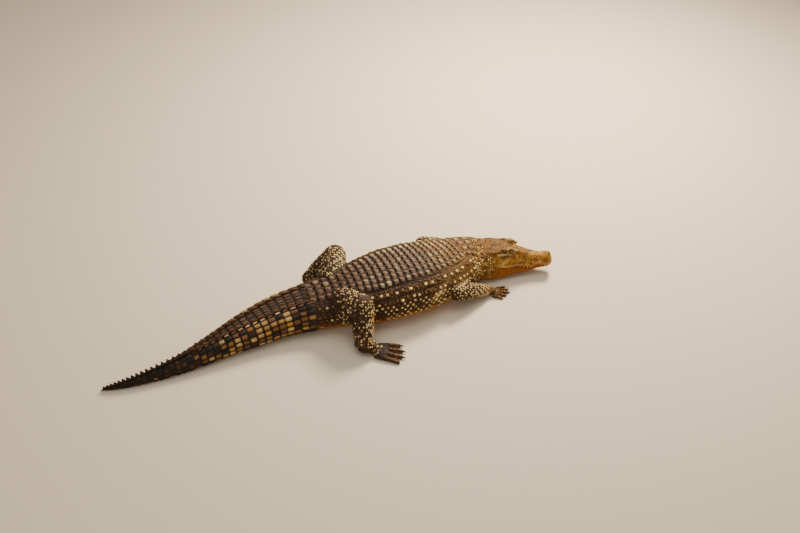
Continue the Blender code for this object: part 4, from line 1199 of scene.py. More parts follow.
class Skin:
    """The finished skin: its points and markings, and a tree that scales are set on."""

    def __init__(self, obj, rounds):
        mesh = obj.data
        self.obj = obj
        self.co = get_points(mesh)
        share, self.s, self.side = leg_share(self.co)
        self.leg = np.where(share > 0.5, 1.0, 0.0)
        mesh.shade_smooth()
        soft_leg = rounds.soften(self.leg, np.ones(len(self.co)), 4, False)
        # Painted shade: the skin's colour is darkened in its broad hollows.
        self.hollow = hollows(mesh, rounds) * ramp(self.s, 0.39, 0.42)
        self.hue = mix(skin_colours(self.co, soft_leg), DEEP, 0.7 * self.hollow)
        paint(mesh, self.hue)
        self.n = get_normals(mesh)
        face = mesh.attributes.new("face", "FLOAT", "POINT")
        face.data.foreach_set("value", (ramp(head_coords(self.co)[0], 0.40, 0.33)
                                        * (1 - soft_leg)).astype(np.float32))
        self.tree = BVHTree.FromObject(obj, bpy.context.evaluated_depsgraph_get())
        first = read(mesh.loops, "vertex_index", 1)[read(mesh.polygons, "loop_start", 1)]
        self.face_leg = self.leg[first]
        self.face_hollow_shade = self.hollow[first]
        self.last = np.zeros(0)

    def drop_to(self, points, normals, want_leg, reach=0.03):
        """Points of the skin met from outside, their normals, and which of them are wanted.

        How deep in a hollow each of them lies is kept in last, for the shade painted on scales
        there.
        """
        spot = np.zeros_like(points)
        turn = np.zeros_like(points)
        good = np.zeros(len(points), bool)
        self.last = np.zeros(len(points))
        for i in range(len(points)):
            start = points[i] + normals[i] * reach
            hit, norm, index, _ = self.tree.ray_cast(start, -normals[i], 2.0 * reach)
            if hit is None or (self.face_leg[index] > 0.5) != want_leg:
                continue
            spot[i] = hit
            turn[i] = norm
            good[i] = True
            self.last[i] = self.face_hollow_shade[index]
        return spot, turn, good


# ---------------------------------------------------------------- where the scales grow
SHIELD = ((0.50, 0.070), (0.58, 0.100), (0.68, 0.124), (0.80, 0.140), (0.95, 0.142),
          (1.08, 0.126), (1.20, 0.104), (1.30, 0.088), (1.37, 0.078))
ROW_PITCH = ((0.545, 0.0335), (1.05, 0.0350), (1.22, 0.0405), (1.372, 0.0450))
BACK_START = 0.545
BACK_END = 1.35
FLANK_START = 0.515
TRUNK_END = 1.372
KNOB_LINES = ((0.0425, 0.0380, 0.70), (0.0860, 0.0290, 0.85))    # off the shield, pitch, chance
SMALL_GAPS = (0.0050, 0.0125, 0.0205, 0.0285, 0.0370, 0.0480, 0.0560, 0.0645, 0.0740, 0.0810,
              0.0900, 0.0990)    # places of small scales off the shield
BUMP_PITCH = (0.0270, 0.0180)    # of round scales, along and down the flank
BELLY_SHARE = 0.605     # share of the girth at which the belly's plates begin
PLATE_PITCH = (0.0270, 0.0235)


def lot(count):
    """Random numbers from 0 to 1."""
    return RNG.random(count)


def one_lot():
    """One random number from 0 to 1."""
    return lot(1)[0]


def set_on_body(coat, skin, s, d, side, long, wide, **more):
    """Scales at distance s and distances d down one side of the trunk."""
    d = np.asarray(d, float)
    if not len(d):
        return
    p, ahead, normal = body_points(s, d, side)
    spot, turn, good = skin.drop_to(p, normal, False)
    good &= spot[:, 2] > 0.006
    more.update(long=long, wide=wide)
    pick = {key: spread(key, value, len(d))[good] for key, value in more.items()}
    # Painted shade: scales that stand in a hollow of the skin are darkened.
    pick["top"] = mix(pick["top"], DARK, 0.65 * skin.last[good])
    coat.add(spot[good], ahead[good], unit(turn[good] + normal[good]), **pick)


def crossband(s):
    """Dark bands across the back and tail, 0 to 1, at distances s."""
    return ramp(np.sin(2 * np.pi * np.asarray(s) / 0.176 + 0.8), 0.10, 0.75)


def back_scutes(coat, skin):
    """Rows of keeled plates across the back, raised behind, with dark gaps between rows."""
    rows = [BACK_START]
    while rows[-1] < BACK_END:
        rows.append(rows[-1] + float(curve(ROW_PITCH, rows[-1])))
    for s in rows:
        pitch = float(curve(ROW_PITCH, s))
        w = float(curve(SHIELD, s))
        front = float(ramp(s, 0.84, 0.60))
        hip = float(ramp(s, 1.00, 1.20))
        band = float(crossband(s))
        count = max(2, int(round(w / (0.037 - 0.006 * front))))
        wide = w / count
        for side, c in [(side, c) for side in (1, -1) for c in range(count)]:
            d = (c + 0.5 + 0.16 * (one_lot() - 0.5)) * wide
            size = 0.90 + 0.18 * lot(1)
            back = 0.008 * (c / count) ** 2 + 0.002 * (one_lot() - 0.5)
            top = mix(mix(UMBER, LILAC, 0.50 + 0.50 * lot(1)), GOLD, [0.50 * front])
            top = mix(top, PALE, (0.16 + 0.30 * front) * (0.4 + 0.6 * lot(1)))
            top = mix(top, BROWN, [0.75 * hip + 0.25 * band * (1 - hip)])
            chance = 0.50 * (1 - 0.7 * hip) if c == count - 1 else 0.10 + 0.40 * front
            if one_lot() < chance:
                top = mix(top, CREAM, (0.55 - 0.2 * hip) * (0.3 + 0.7 * lot(1)))
            set_on_body(coat, skin, s + back, [d], side, 0.395 * pitch * size,
                        0.535 * wide * size, top=top, **SCUTE)


def shoulder_light(s, share):
    """The bright stretched skin behind the shoulder, 0 to 1."""
    slope = 0.752 + 0.45 * (share - 0.42)
    return np.exp(-((s - slope) / 0.020) ** 2 - ((share - 0.42) / 0.10) ** 2)


def small_rows(coat, skin, s, side, hip):
    """Small dull scales of uneven size between the larger ones, beside the shield."""
    gaps = np.array(SMALL_GAPS)
    gaps = gaps[lot(len(gaps)) < 0.86]
    d = float(curve(SHIELD, s)) + gaps + 0.006 * (lot(len(gaps)) - 0.5)
    count = len(d)
    # Painted shade: the small scales that sit in the long folds are darkened; toward the hips all
    # of them grow darker as well.
    fold = np.min(np.abs(gaps[:, None] - [f[0] for f in FOLDS]), 1) < 0.006
    top = mix(mix(BROWN, OCHRE, 0.9 * lot(count)), DARK, np.where(fold, 0.75, 0.7 * hip))
    top = mix(top, GOLD, 0.6 * float(ramp(s, 0.84, 0.60)) * lot(count))
    set_on_body(coat, skin, s, d, side, 0.0052 * (0.7 + 0.6 * lot(count)), 0.0044, top=top,
                **SMALL_SCALE)


def knob_lines(coat, skin):
    """Two lines of bright knobs beside the shield."""
    for gap, pitch, chance in KNOB_LINES:
        for s in np.arange(0.52, TRUNK_END, pitch):
            hip = float(ramp(s, 0.98, 1.15))
            for side in (1, -1):
                at = s + 0.010 * (one_lot() - 0.5)
                place = float(curve(SHIELD, at)) + gap + 0.006 * (one_lot() - 0.5)
                size = 0.80 + 0.35 * lot(1)
                bright = one_lot() < chance * (1 - 0.75 * hip)
                top = mix(CREAM, OCHRE, 0.35 * lot(1)) if bright else mix(BROWN, UMBER, lot(1))
                set_on_body(coat, skin, at, [place], side, 0.0112 * size, 0.0092 * size,
                            top=top, **KNOB)


def flank_dots(coat, skin, k, s, side):
    """One row of round scales down the flank, most of them bright."""
    total = girth(s)
    end = BELLY_SHARE * total
    hip = float(ramp(s, 0.98, 1.16))
    front = float(ramp(s, 0.84, 0.62))
    gap = BUMP_PITCH[1] * (2.0 - 0.75 * front)
    begin = float(curve(SHIELD, s)) + 0.108
    d = np.arange(begin + (0.5 * gap if k % 2 else 0.0), end, gap)
    d = d + 0.008 * (1 - 0.5 * front) * (lot(len(d)) - 0.5)
    count = len(d)
    low = ramp(d, end - 0.05, end)
    bright = lot(count) < 0.88 - 0.55 * hip
    top = np.where(bright[:, None], mix(CREAM, OCHRE, 0.55 * lot(count) ** 2 + 0.3 * low),
                   mix(BROWN, UMBER, lot(count)))
    top = mix(top, GOLD, 0.25 * front * lot(count))
    bare = shoulder_light(s, d / total)
    top = mix(top, CREAM, 0.8 * bare)
    size = (0.78 + 0.40 * lot(count)) * (1 - 0.12 * front)
    set_on_body(coat, skin, s + 0.003 * (one_lot() - 0.5), d, side,
                0.0084 * size * (0.90 + 0.30 * lot(count)), 0.0076 * size,
                power=2.1 + 1.1 * lot(count),
                dome=(0.0034 + 0.0018 * lot(count)) * (1 - 0.4 * low), top=top,
                rim=mix(mix(DEEP, BROWN, low), PALE, 0.7 * bare), **FLANK_DOT)


def flank_scales(coat, skin):
    """Two lines of bright knobs among small scales, and rows of bright dots lower down."""
    knob_lines(coat, skin)
    for k, s in enumerate(np.arange(FLANK_START, TRUNK_END, 0.5 * BUMP_PITCH[0])):
        for side in (1, -1):
            flank_dots(coat, skin, k, s, side)
    for s in np.arange(FLANK_START, TRUNK_END, 0.0115):
        hip = float(ramp(s, 0.98, 1.15))
        for side in (1, -1):
            small_rows(coat, skin, s + 0.006 * (one_lot() - 0.5), side, hip)


def flank_grains(coat, skin):
    """Tiny dark scales that fill the skin between the bright dots."""
    for k, s in enumerate(np.arange(FLANK_START, TRUNK_END, 0.25 * BUMP_PITCH[0])):
        total = girth(s)
        end = BELLY_SHARE * total
        begin = float(curve(SHIELD, s)) + 0.106
        for side in (1, -1):
            d = np.arange(begin + 0.0045 * (k % 2), end, 0.5 * BUMP_PITCH[1])
            d = d + 0.004 * (lot(len(d)) - 0.5)
            count = len(d)
            low = ramp(d, end - 0.05, end)
            front = float(ramp(s, 0.84, 0.58))
            top = mix(mix(DARK, UMBER, 0.2 + 0.8 * lot(count)), TAN, 0.6 * low)
            top = mix(top, GOLD, 0.9 * front * (lot(count) < 0.65))
            bare = shoulder_light(s, d / total)
            top = mix(top, PALE, 0.9 * bare)
            set_on_body(coat, skin, s + 0.002 * (one_lot() - 0.5), d, side,
                        0.0034 * (0.8 + 0.5 * lot(count)), 0.0030, top=top,
                        rim=mix(mix(DEEP, BROWN, low), TAN, 0.8 * bare), **FLANK_GRAIN)


def belly_plates(coat, skin):
    """Flat, nearly square plates on the underside, in rows across it."""
    for s in np.arange(0.40, TRUNK_END, PLATE_PITCH[0]):
        total = girth(s)
        begin = BELLY_SHARE * total + 0.006
        for side in (1, -1):
            d = np.arange(begin, total, PLATE_PITCH[1])
            count = len(d)
            low = ramp(d / total, BELLY_SHARE, 0.86)
            top = mix(mix(ORANGE, TAN, 0.2 + 0.6 * lot(count)), PALE, 0.7 * low)
            # Toward the hips the plates are darkened into the tail's dark underside; this is
            # partly painted shade under the hips and the root of the tail.
            top = mix(top, BROWN, 0.7 * float(ramp(s, 1.20, 1.36)))
            set_on_body(coat, skin, s, d, side, 0.0122 * (0.94 + 0.1 * lot(count)), 0.0108,
                        top=top, rim=mix(DARK, TAN, 0.35 + 0.3 * low), **BELLY_PLATE)


def neck_scales(coat, skin):
    """Bumps of the neck, the shield on the nape and the small plates behind the head."""
    for k, s in enumerate(np.arange(0.388, 0.545, 0.0098)):
        total = girth(s)
        end = BELLY_SHARE * total
        for side in (1, -1):
            d = np.arange(0.004 + (0.0095 if k % 2 else 0.0), end, 0.0190)
            shield = (s > 0.428) & (d < 0.094) & (s < 0.522)
            d = d[~shield]
            d = d + 0.004 * (lot(len(d)) - 0.5)
            count = len(d)
            upper = ramp(d, 0.14, 0.07)
            low = ramp(d, end - 0.05, end)
            bright = lot(count) < 0.66 - 0.42 * upper
            top = np.where(bright[:, None],
                           mix(CREAM, GOLD, 0.1 + 0.5 * lot(count) + 0.4 * np.maximum(low, upper)),
                           mix(DARK, GOLD, 0.2 + 0.6 * lot(count)))
            size = 0.74 + 0.46 * lot(count)
            set_on_body(coat, skin, s + 0.002 * (one_lot() - 0.5), d, side,
                        0.0072 * size * (0.88 + 0.36 * lot(count)), 0.0080 * size,
                        power=2.2 + 1.2 * lot(count), dome=0.0028 + 0.0018 * lot(count),
                        top=top, rim=mix(mix(DEEP, BROWN, 0.5 * upper), BROWN, low),
                        **NECK_DOT)
    for s, places, long, wide in ((0.405, (0.017, 0.049), 0.0100, 0.0105),
                                  (0.455, (0.0235, 0.069), 0.0205, 0.0205),
                                  (0.4985, (0.0235, 0.064), 0.0200, 0.0195)):
        for side in (1, -1):
            d = np.array(places)
            sizes = np.array([wide, wide * (0.78 if s > 0.41 else 1.0)])
            top = mix(mix(GOLD, UMBER, 0.6 * lot(2)), PALE, 0.5 * lot(2))
            set_on_body(coat, skin, s, d, side, long, sizes, top=top, **NAPE_SHIELD)


def whorl_starts():
    """Distances at which the tail whorls begin, and the end of the last one."""
    raw = WHORL_FIRST + (WHORL_LAST - WHORL_FIRST) * np.arange(WHORLS) / (WHORLS - 1)
    scale = (LENGTH - 0.012 - TAIL_START) / raw.sum()
    return TAIL_START + np.concatenate([[0.0], np.cumsum(raw * scale)])


def tail_light(s):
    """Chance of a light plate at distance s: few at the root, bars midway, none at the tip."""
    chance = float(curve(((1.37, 0.26), (1.46, 0.52), (1.56, 0.62), (1.76, 0.56), (1.90, 0.32),
                          (2.02, 0.08), (2.10, -0.30)), s))
    bar = float(ramp(np.sin(2 * np.pi * (s - 1.37) / 0.150 + 0.6), -0.5, 0.3))
    return chance * (0.55 + 0.60 * bar)


def tail_plates(coat, skin):
    """Square plates in rings round the tail."""
    starts = whorl_starts()
    for k in range(WHORLS):
        pitch = starts[k + 1] - starts[k]
        s = starts[k] + 0.5 * pitch
        total = girth(s)
        half = 0.5 * float(curve(WIDTH, s))
        crest = half * float(curve(CREST_SIDE, s)) if k < DOUBLE_WHORLS else 0.0
        begin = crest * 1.06 + (0.015 if k < DOUBLE_WHORLS else 0.003)
        count = max(3, int(round((total - begin) / (0.027 if k < 20 else 0.020))))
        wide = (total - begin) / count
        chance = tail_light(s)
        for side in (1, -1):
            d = begin + (np.arange(count) + 0.5) * wide
            under = ramp(d / total, 0.72, 0.86)
            flank = ramp(d / total, 0.16, 0.26)
            roll = (0.80 * lot(count) + 0.20 * lot(1))[:, None]
            flank = flank[:, None]
            warm = mix(mix(OCHRE, CREAM, 0.05 + 0.45 * lot(count)), UMBER, 0.50 * lot(count))
            dull = mix(mix(RUST, UMBER, lot(count)), OCHRE, 0.4 * lot(count))
            top = np.where(roll < (chance + 0.30) * flank, dull,
                           mix(DEEP, BROWN, 0.75 * lot(count) ** 2))
            top = np.where(roll < chance * flank, warm, top)
            tone = 0.3 + 0.3 * float(ramp(s, 1.60, 1.38))
            top = mix(top, mix(DARK, TAN, tone * np.ones(count)), 0.7 * under * (s < 1.9))
            size = 0.94 + 0.10 * lot(count)
            set_on_body(coat, skin, s, d, side, 0.475 * pitch * size, 0.475 * wide * size,
                        keel=0.0022 * (1 - under), top=top, **TAIL_PLATE)
            if k < DOUBLE_WHORLS:
                tone = mix(LILAC, CREAM, [0.5]) if one_lot() < 0.45 else mix(BROWN, LILAC, [0.4])
                set_on_body(coat, skin, s, np.array([begin - 0.0065]), side, 0.42 * pitch,
                            0.0056, top=tone, **CREST_KNOB)
            if crest > 0.016:
                n = max(1, int(round((crest - 0.006) / 0.020)))
                w = (crest - 0.007) / n
                d = (np.arange(n) + 0.5) * w
                set_on_body(coat, skin, s, d, side, 0.45 * pitch, 0.46 * w,
                            top=mix(BROWN, LILAC, 0.36 * lot(n)), **TAIL_TOP)


FLAP_MORE = 0.0030     # how far the horny flaps stand above the solid crest
FLAP_SECTION = ((0.0, 1.0), (0.35, 0.86), (0.65, 0.60), (0.88, 0.34), (1.0, 0.10))  # up, width


def flap_ring(k, side, double):
    """Rings of one flap of the crest, from its hind end forward, and their distances s."""
    starts = whorl_starts()
    x = np.linspace(-0.03, 1.0, 12)
    s = starts[k] + (starts[k + 1] - starts[k]) * (1.0 - x)
    rise = np.interp(x, (-0.03, 0.07, 0.16, 0.55, 0.86, 1.0), (0.30, 1.0, 0.97, 0.55, 0.22, 0.02))
    half = 0.5 * curve(WIDTH, s)
    height = curve(HEIGHT, s)
    lateral = half * curve(CREST_SIDE, s) if double else np.zeros(len(s))
    level = WIDEST * height
    bow = (1 - (lateral / half) ** TOP_POWER) ** (1 / TOP_POWER)
    foot = level + (height - level) * bow - DEPTH_BODY - 0.004
    tip = foot + 0.004 + DEPTH_BODY + (curve(CREST, s) + FLAP_MORE) * rise
    thick = np.minimum(0.0044, 0.34 * half)
    p, _, left = spine(s)
    ring = []
    for sign, order in ((1, 1), (-1, -1)):
        for share, width in FLAP_SECTION[::order]:
            z = foot + (tip - foot) * share
            out = sign * thick * width * np.interp(x, (-0.03, 0.1, 1.0), (0.35, 0.8, 1.0))
            q = p + left * (side * (lateral + 0.15 * (z - foot)) + out)[:, None]
            q[:, 2] = z
            ring.append(q)
    return np.stack(ring, 1), s


def crest_flaps(unwrap):
    """The upright flaps of the tail crest: two rows, then one, each flap a thin solid fin."""
    verts, cols, uvs, quads = [], [], [], []
    levels = np.array([share for share, _ in FLAP_SECTION])
    base = 0
    for k in range(WHORLS):
        double = k < DOUBLE_WHORLS
        for side in ((1, -1) if double else (0,)):
            ring, s = flap_ring(k, side, double)
            rows, c, _ = ring.shape
            body = ring.reshape(-1, 3)
            verts.append(body)
            tone = mix(BROWN, LILAC, 0.12 + 0.4 * lot(1))[0]
            tone = mix(tone, DEEP, np.array(0.75 * float(ramp(s.mean(), 1.95, 2.15))))
            # Painted light: each flap is painted darker toward its foot, as shade where it meets
            # the tail, and lighter toward its upper edge, as a highlight where light catches it.
            shade = np.tile(np.concatenate([levels, levels[::-1]]), rows)
            cols.append(mix(DEEP, tone, 0.2 + 0.8 * shade))
            uvs.append(np.repeat(unwrap(body.mean(0)[None]), len(body), 0))
            a = np.arange(c)
            b = (a + 1) % c
            for r in range(0, (rows - 1) * c, c):
                quads.append(base + np.stack([r + a, r + b, r + c + b, r + c + a], 1))
            for r in (0, (rows - 1) * c):
                for j in range(len(levels) - 1):
                    face = [r + j, r + j + 1, r + c - 2 - j, r + c - 1 - j]
                    quads.append(base + np.array([face if r else face[::-1]]))
            base += len(body)
    obj = grid_mesh("tail_crest", np.vstack(verts), np.vstack(quads))
    paint(obj.data, np.vstack(cols))
    set_uv(obj.data, np.vstack(uvs))
    face_outwards(obj.data)
    obj.data.shade_smooth()
    obj.data.set_sharp_from_angle(angle=np.radians(50.0))
    return obj


# Rows of scales round the bones: radius to start from, pitch, first and last share of the length
THIGH_ROWS = (0.070, 0.0152, 0.02, 1.12)
SHANK_ROWS = (0.054, 0.0142, -0.12, 1.10)
UPPER_ARM_ROWS = (0.054, 0.0140, 0.05, 1.15)
FOREARM_ROWS = (0.038, 0.0122, -0.20, 1.0)


def limb_scales(coat, skin, start, end, normal, style, radius, pitch, first, last):
    """Rows of scales round one bone of a leg."""
    along = unit(end - start)
    over = unit(np.cross(along, normal))
    length = np.linalg.norm(end - start)
    rows = int(round(length * (last - first) / (0.5 * pitch)))
    around = 2 * max(4, int(round(np.pi * radius / (pitch * 0.86))))
    for r in range(rows + 1):
        t = first + (last - first) * r / rows
        centre = start + along * length * t
        a = (np.arange(around) + (0.5 if r % 2 else 0.0)) * 2 * np.pi / around
        a = a + 0.12 * (lot(around) - 0.5) * 2 * np.pi / around
        out = over * np.cos(a)[:, None] + normal * np.sin(a)[:, None]
        spot, turn, good = skin.drop_to(centre + out * radius, out, True, radius * 0.95)
        good &= spot[:, 2] > 0.004
        top, rim, size, dome = style(spot, turn, r)
        # Painted shade: scales that stand in a hollow of the skin are darkened.
        top = mix(top, DARK, 0.65 * skin.last)
        coat.add(spot[good], -along, unit(turn[good] + 0.3 * out[good]),
                 0.47 * pitch * size[good], 0.42 * pitch * size[good],
                 power=2.1 + 0.9 * lot(good.sum()), dome=dome[good], top=top[good],
                 rim=rim[good], **LIMB_SCALE)


def leg_style(chance, bare=None, behind=0.22):
    """Colours of a leg's scales: dark, with pearl dots in a net, most of them in front."""
    def style(spot, turn, r):
        """Top and rim colours, sizes and heights of the scales of row r."""
        count = len(spot)
        net = (np.arange(count) + r // 2) % 3 > 0 if r % 2 == 0 else np.zeros(count, bool)
        front = ramp(turn[:, 0], -0.85, 0.30)
        light = net & (lot(count) < chance * (behind + (1.07 - behind) * front))
        light |= lot(count) < 0.12 * front
        dull = mix(DEEP, BROWN, 0.20 + 0.80 * lot(count))
        dull = mix(dull, LILAC, 0.50 * (lot(count) < 0.30))
        top = np.where(light[:, None], mix(CREAM, OCHRE, 0.40 * lot(count)), dull)
        if bare is not None:
            near = np.linalg.norm(spot - bare[0], axis=1)
            top = mix(top, TAN, 0.8 * ramp(near, bare[1], 0.5 * bare[1]))
        rim = mix(np.tile(DEEP, (count, 1)), DARK, lot(count))
        size = np.where(light, 1.02, 0.84) * (0.90 + 0.20 * lot(count))
        return top, rim, size, np.where(light, 0.0034, 0.0016)
    return style


HIND_FOOT = (0.0115, 0.120, 0.055, 0.0085)    # pitch, reach, half width, pitch along the toes
FORE_FOOT = (0.0085, 0.062, 0.036, 0.0062)


def foot_scales(coat, skin, kind, side):
    """Scales on the top of the foot, and a row of plates along each toe."""
    hind = kind == "hind"
    leg = leg_joints(kind, side)
    pitch, far, wide, step = HIND_FOOT if hind else FORE_FOOT
    up = np.array([0.0, 0.0, 1.0])
    for r, x in enumerate(np.arange(-0.02, far, 0.5 * pitch)):
        y = np.arange(-wide, wide, pitch * 0.9) + (0.45 * pitch if r % 2 else 0.0)
        flat = (np.array([leg.ankle[0], leg.ankle[1], 0.030]) + leg.ahead * x
                + leg.left * y[:, None])
        spot, turn, good = skin.drop_to(flat, np.repeat(up[None], len(y), 0), True, 0.06)
        good &= (turn[:, 2] > 0.25) & (spot[:, 2] > 0.004)
        count = len(y)
        light = lot(count) < (0.40 if hind else 0.55) * float(ramp(x, far, 0.2 * far))
        dull = mix(DEEP, RUST, 0.7 * lot(count))
        if not hind:
            dull = mix(dull, TAN, 0.25 + 0.35 * lot(count))
        top = np.where(light[:, None], mix(CREAM, OCHRE, 0.5 * lot(count)), dull)
        size = 0.9 + 0.2 * lot(good.sum())
        coat.add(spot[good], leg.ahead, turn[good], 0.45 * pitch * size, 0.42 * pitch * size,
                 top=top[good], **FOOT_SCALE)
    pale = np.array([0.1, 0.25, 0.1]) if hind else np.array([0.4, 0.9, 0.4])
    a = np.radians(np.array([-72.0, 0.0, 72.0]))
    for toe in toe_lines(kind, side):
        line = toe.points[-1] - toe.points[0]
        length = np.linalg.norm(line)
        out = up * np.cos(a)[:, None] + toe.left * np.sin(a)[:, None]
        for x in np.arange(0.10 * length, length * 1.02, step):
            r = toe.thick + (toe.thin - toe.thick) * min(x / length, 1.0)
            centre = toe.points[0] + line * x / length
            spot, turn, good = skin.drop_to(centre + out * r, out, True, r * 0.9)
            top = mix(mix(DARK, RUST, 0.2 + 0.6 * lot(3)), UMBER, 0.5 * lot(3))
            top = mix(top, TAN, pale * lot(3))
            coat.add(spot[good], toe.ahead, turn[good], 0.60 * step,
                     np.array([0.50, 1.02, 0.50])[good] * r, top=top[good], **TOE_PLATE)


def leg_coat(coat, skin, kind):
    """Scales on both hind or both fore legs."""
    for side in (1, -1):
        leg = leg_joints(kind, side)
        if kind == "hind":
            shin = leg.knee + 0.34 * (leg.ankle - leg.knee) + np.array([0.046, 0.022 * side, 0])
            bones = ((leg.root, leg.knee, THIGH_ROWS, leg_style(0.88, behind=0.46)),
                     (leg.knee, leg.ankle, SHANK_ROWS, leg_style(0.94, (shin, 0.044), 0.40)))
        else:
            bones = ((leg.root, leg.knee, UPPER_ARM_ROWS, leg_style(0.95)),
                     (leg.knee, leg.ankle, FOREARM_ROWS, leg_style(0.95, (leg.ankle, 0.040))))
        for start, end, rows, style in bones:
            limb_scales(coat, skin, start, end, leg.axis, style, *rows)
        foot_scales(coat, skin, kind, side)


def ring_on_head(skin, u, angles, level=0.085):
    """Points of the skin round the head at u; angle 0 looks up and 90 degrees to the left."""
    centre = head_point(u, 0.0, level)
    out = HEAD_L * np.sin(angles)[:, None] + np.array([0, 0, 1.0]) * np.cos(angles)[:, None]
    return skin.drop_to(centre + out * 0.085, out, False, 0.075)


def head_scales(coat, skin):
    """Small scales of the jowls and the back of the head, and a row along each lip."""
    for k, u in enumerate(np.arange(0.292, 0.398, 0.0100)):
        for side in (1, -1):
            a = np.radians(np.arange(4.0 + 3.3 * (k % 2), 150.0, 6.6)) * side
            a = a + np.radians(1.6) * (lot(len(a)) - 0.5)
            spot, turn, good = ring_on_head(skin, u, a)
            down = np.abs(np.degrees(a))
            begin = np.interp(down, (0, 40, 62, 80, 100, 118, 150),
                              (0.364, 0.356, 0.330, 0.318, 0.322, 0.334, 0.350))
            good &= (u > begin + 0.018 * (lot(len(a)) - 0.5)) & (spot[:, 2] > 0.008)
            count = len(a)
            low = ramp(down, 96.0, 120.0)
            edge = bell(u - begin - 0.018, 0.010)
            nape = ramp(down, 62.0, 42.0)
            bright = lot(count) < (0.45 + 0.45 * edge) * (1 - 0.5 * low) * (1 - 0.75 * nape)
            top = np.where(bright[:, None],
                           mix(mix(CREAM, GOLD, 0.15 + 0.60 * lot(count)), GOLD, 0.6 * nape),
                           mix(BROWN, GOLD, 0.2 + 0.7 * lot(count)))
            top = mix(top, TAN, 0.6 * low)
            size = (0.72 + 0.50 * lot(count)) * (0.75 + 0.25 * ramp(u - begin, 0.0, 0.022))
            coat.add(spot[good], HEAD_A, turn[good], (0.0057 * size)[good],
                     (0.0072 * size)[good], dome=(0.0022 * (1 - 0.5 * low))[good],
                     top=top[good], **JOWL_SCALE,
                     rim=mix(mix(np.tile(DARK, (count, 1)), BROWN, 0.3), TAN, 0.6 * low)[good])
    for u, places, size in ((0.3700, (0.010, 0.030, 0.050), 0.0085),
                            (0.3860, (0.020, 0.042, 0.064), 0.0080)):
        for side in (1, -1):
            y = np.array(places) * side
            spot, turn, good = skin.drop_to(head_point(u, y, 0.18), np.tile([0, 0, 1.0], (3, 1)),
                                            False, 0.05)
            top = mix(BROWN, GOLD, 0.3 + 0.7 * lot(3))
            coat.add(spot[good], HEAD_A, turn[good], size,
                     size * 0.9, top=top[good], **NECK_PLATE)


FACE_STEP = 0.0078     # spacing of the flat scales on the face


def face_scales(coat, skin):
    """Flat scales of uneven size over face and jaw, clear of eyes, ears, nostrils and lips."""
    co, n, hue = skin.co, skin.n, skin.hue
    u, side, z = head_coords(co)
    flat = np.abs(side)
    over = np.abs(z - curve(MOUTH, u))
    wanted = (u > 0.010) & (u < 0.352) & (flat < 0.14) & (z > 0.016) & is_head(co)
    wanted &= (over > 0.0075) | (u > MOUTH_END + 0.02)
    wanted &= (u > 0.036) | (z < 0.094)
    ear = np.abs(z - curve(HEAD_TOP, u) + EAR_DROP)
    wanted &= (ear > 0.0062) | (u < EAR[0] - 0.008) | (u > EAR[1] + 0.008) | (flat < 0.040)
    for turn in (1, -1):
        wanted &= np.linalg.norm(co - eye_centre(turn), axis=1) > EYE_R + 0.0085
    index = np.nonzero(wanted)[0]
    roots = np.vstack([i["root"] for i in coat.items])
    pick = index[open_spots(co[index], roots, 0.0066, FACE_STEP)]
    count = len(pick)
    size = FACE_STEP * (0.44 + 0.14 * lot(count))
    tone = hue[pick] * (0.86 + 0.34 * lot(count))[:, None]
    coat.add(co[pick], HEAD_A, n[pick], size, size * (0.80 + 0.30 * lot(count)),
             dome=0.0005 + 0.0005 * lot(count), top=np.minimum(tone, 1.0),
             rim=mix(hue[pick], DARK, 0.50), **FACE_SCALE)


def head_coat(coat, skin):
    """All scales of the head."""
    head_scales(coat, skin)
    face_scales(coat, skin)


def head_unwrap(points):
    """Place of head points on a flat unwrap of the head."""
    u, side, z = head_coords(points)
    a = np.arctan2(side, z - 0.085)
    return np.stack([0.03 + 0.94 * u / 0.42, 0.5 + 0.46 * a / np.pi], 1)


def eye_piece(side, name):
    """One eye: a clear ball with a golden brown iris, an upright slit and a dark rim."""
    centre = eye_centre(side)
    out, ahead, up = eye_frame(side)
    a = np.concatenate([np.linspace(0.004, 1.1, 56), np.linspace(1.14, np.pi - 0.004, 28)])
    b = np.linspace(0, 2 * np.pi, 112, endpoint=False)
    h = np.sin(a)[:, None] * np.cos(b)
    k = np.sin(a)[:, None] * np.sin(b)
    size = EYE_R - 0.0003 + 0.0005 * bell(a[:, None], 0.5)
    d = out * np.cos(a)[:, None, None] + ahead * h[..., None] + up * k[..., None]
    obj = mesh_object(name, *sweep(centre + d * size[..., None]))
    iris, slit = srgb(104, 70, 26), 0.135
    streaks = hash_noise(np.stack([b * 14, b * 0, b * 0], 1), 1.0, 71)
    streaks = 0.6 * streaks + 0.4 * hash_noise(np.stack([b * 30, b * 0, b * 0], 1), 1.0, 72)
    tone = mix(np.tile(iris, (len(b), 1)), srgb(176, 128, 54), streaks)
    hue = np.repeat(tone[None], len(a), 0)
    far = np.hypot(h, k)
    hue = mix(hue, srgb(96, 62, 26), 0.8 * ramp(far, 0.36, 0.66))
    hue = mix(hue, srgb(20, 13, 8), ramp(far, 0.66, 0.74))
    wide = slit * np.sqrt(np.clip(1 - (k / 0.58) ** 2, 0, 1))
    hue = mix(hue, srgb(4, 3, 2), ramp(np.abs(h), wide + 0.035, wide + 0.005) * (np.abs(k) < 0.58))
    hue = mix(hue, srgb(58, 36, 20), ramp(a[:, None] + 0 * b, 0.95, 1.05))
    paint(obj.data, np.vstack([hue.reshape(-1, 3), [srgb(4, 3, 2)], [srgb(58, 36, 20)]]))
    obj.data.shade_smooth()
    return obj


CLAW_SIDES = 18
TOOTH_RINGS = 9
TOOTH_SIDES = 10


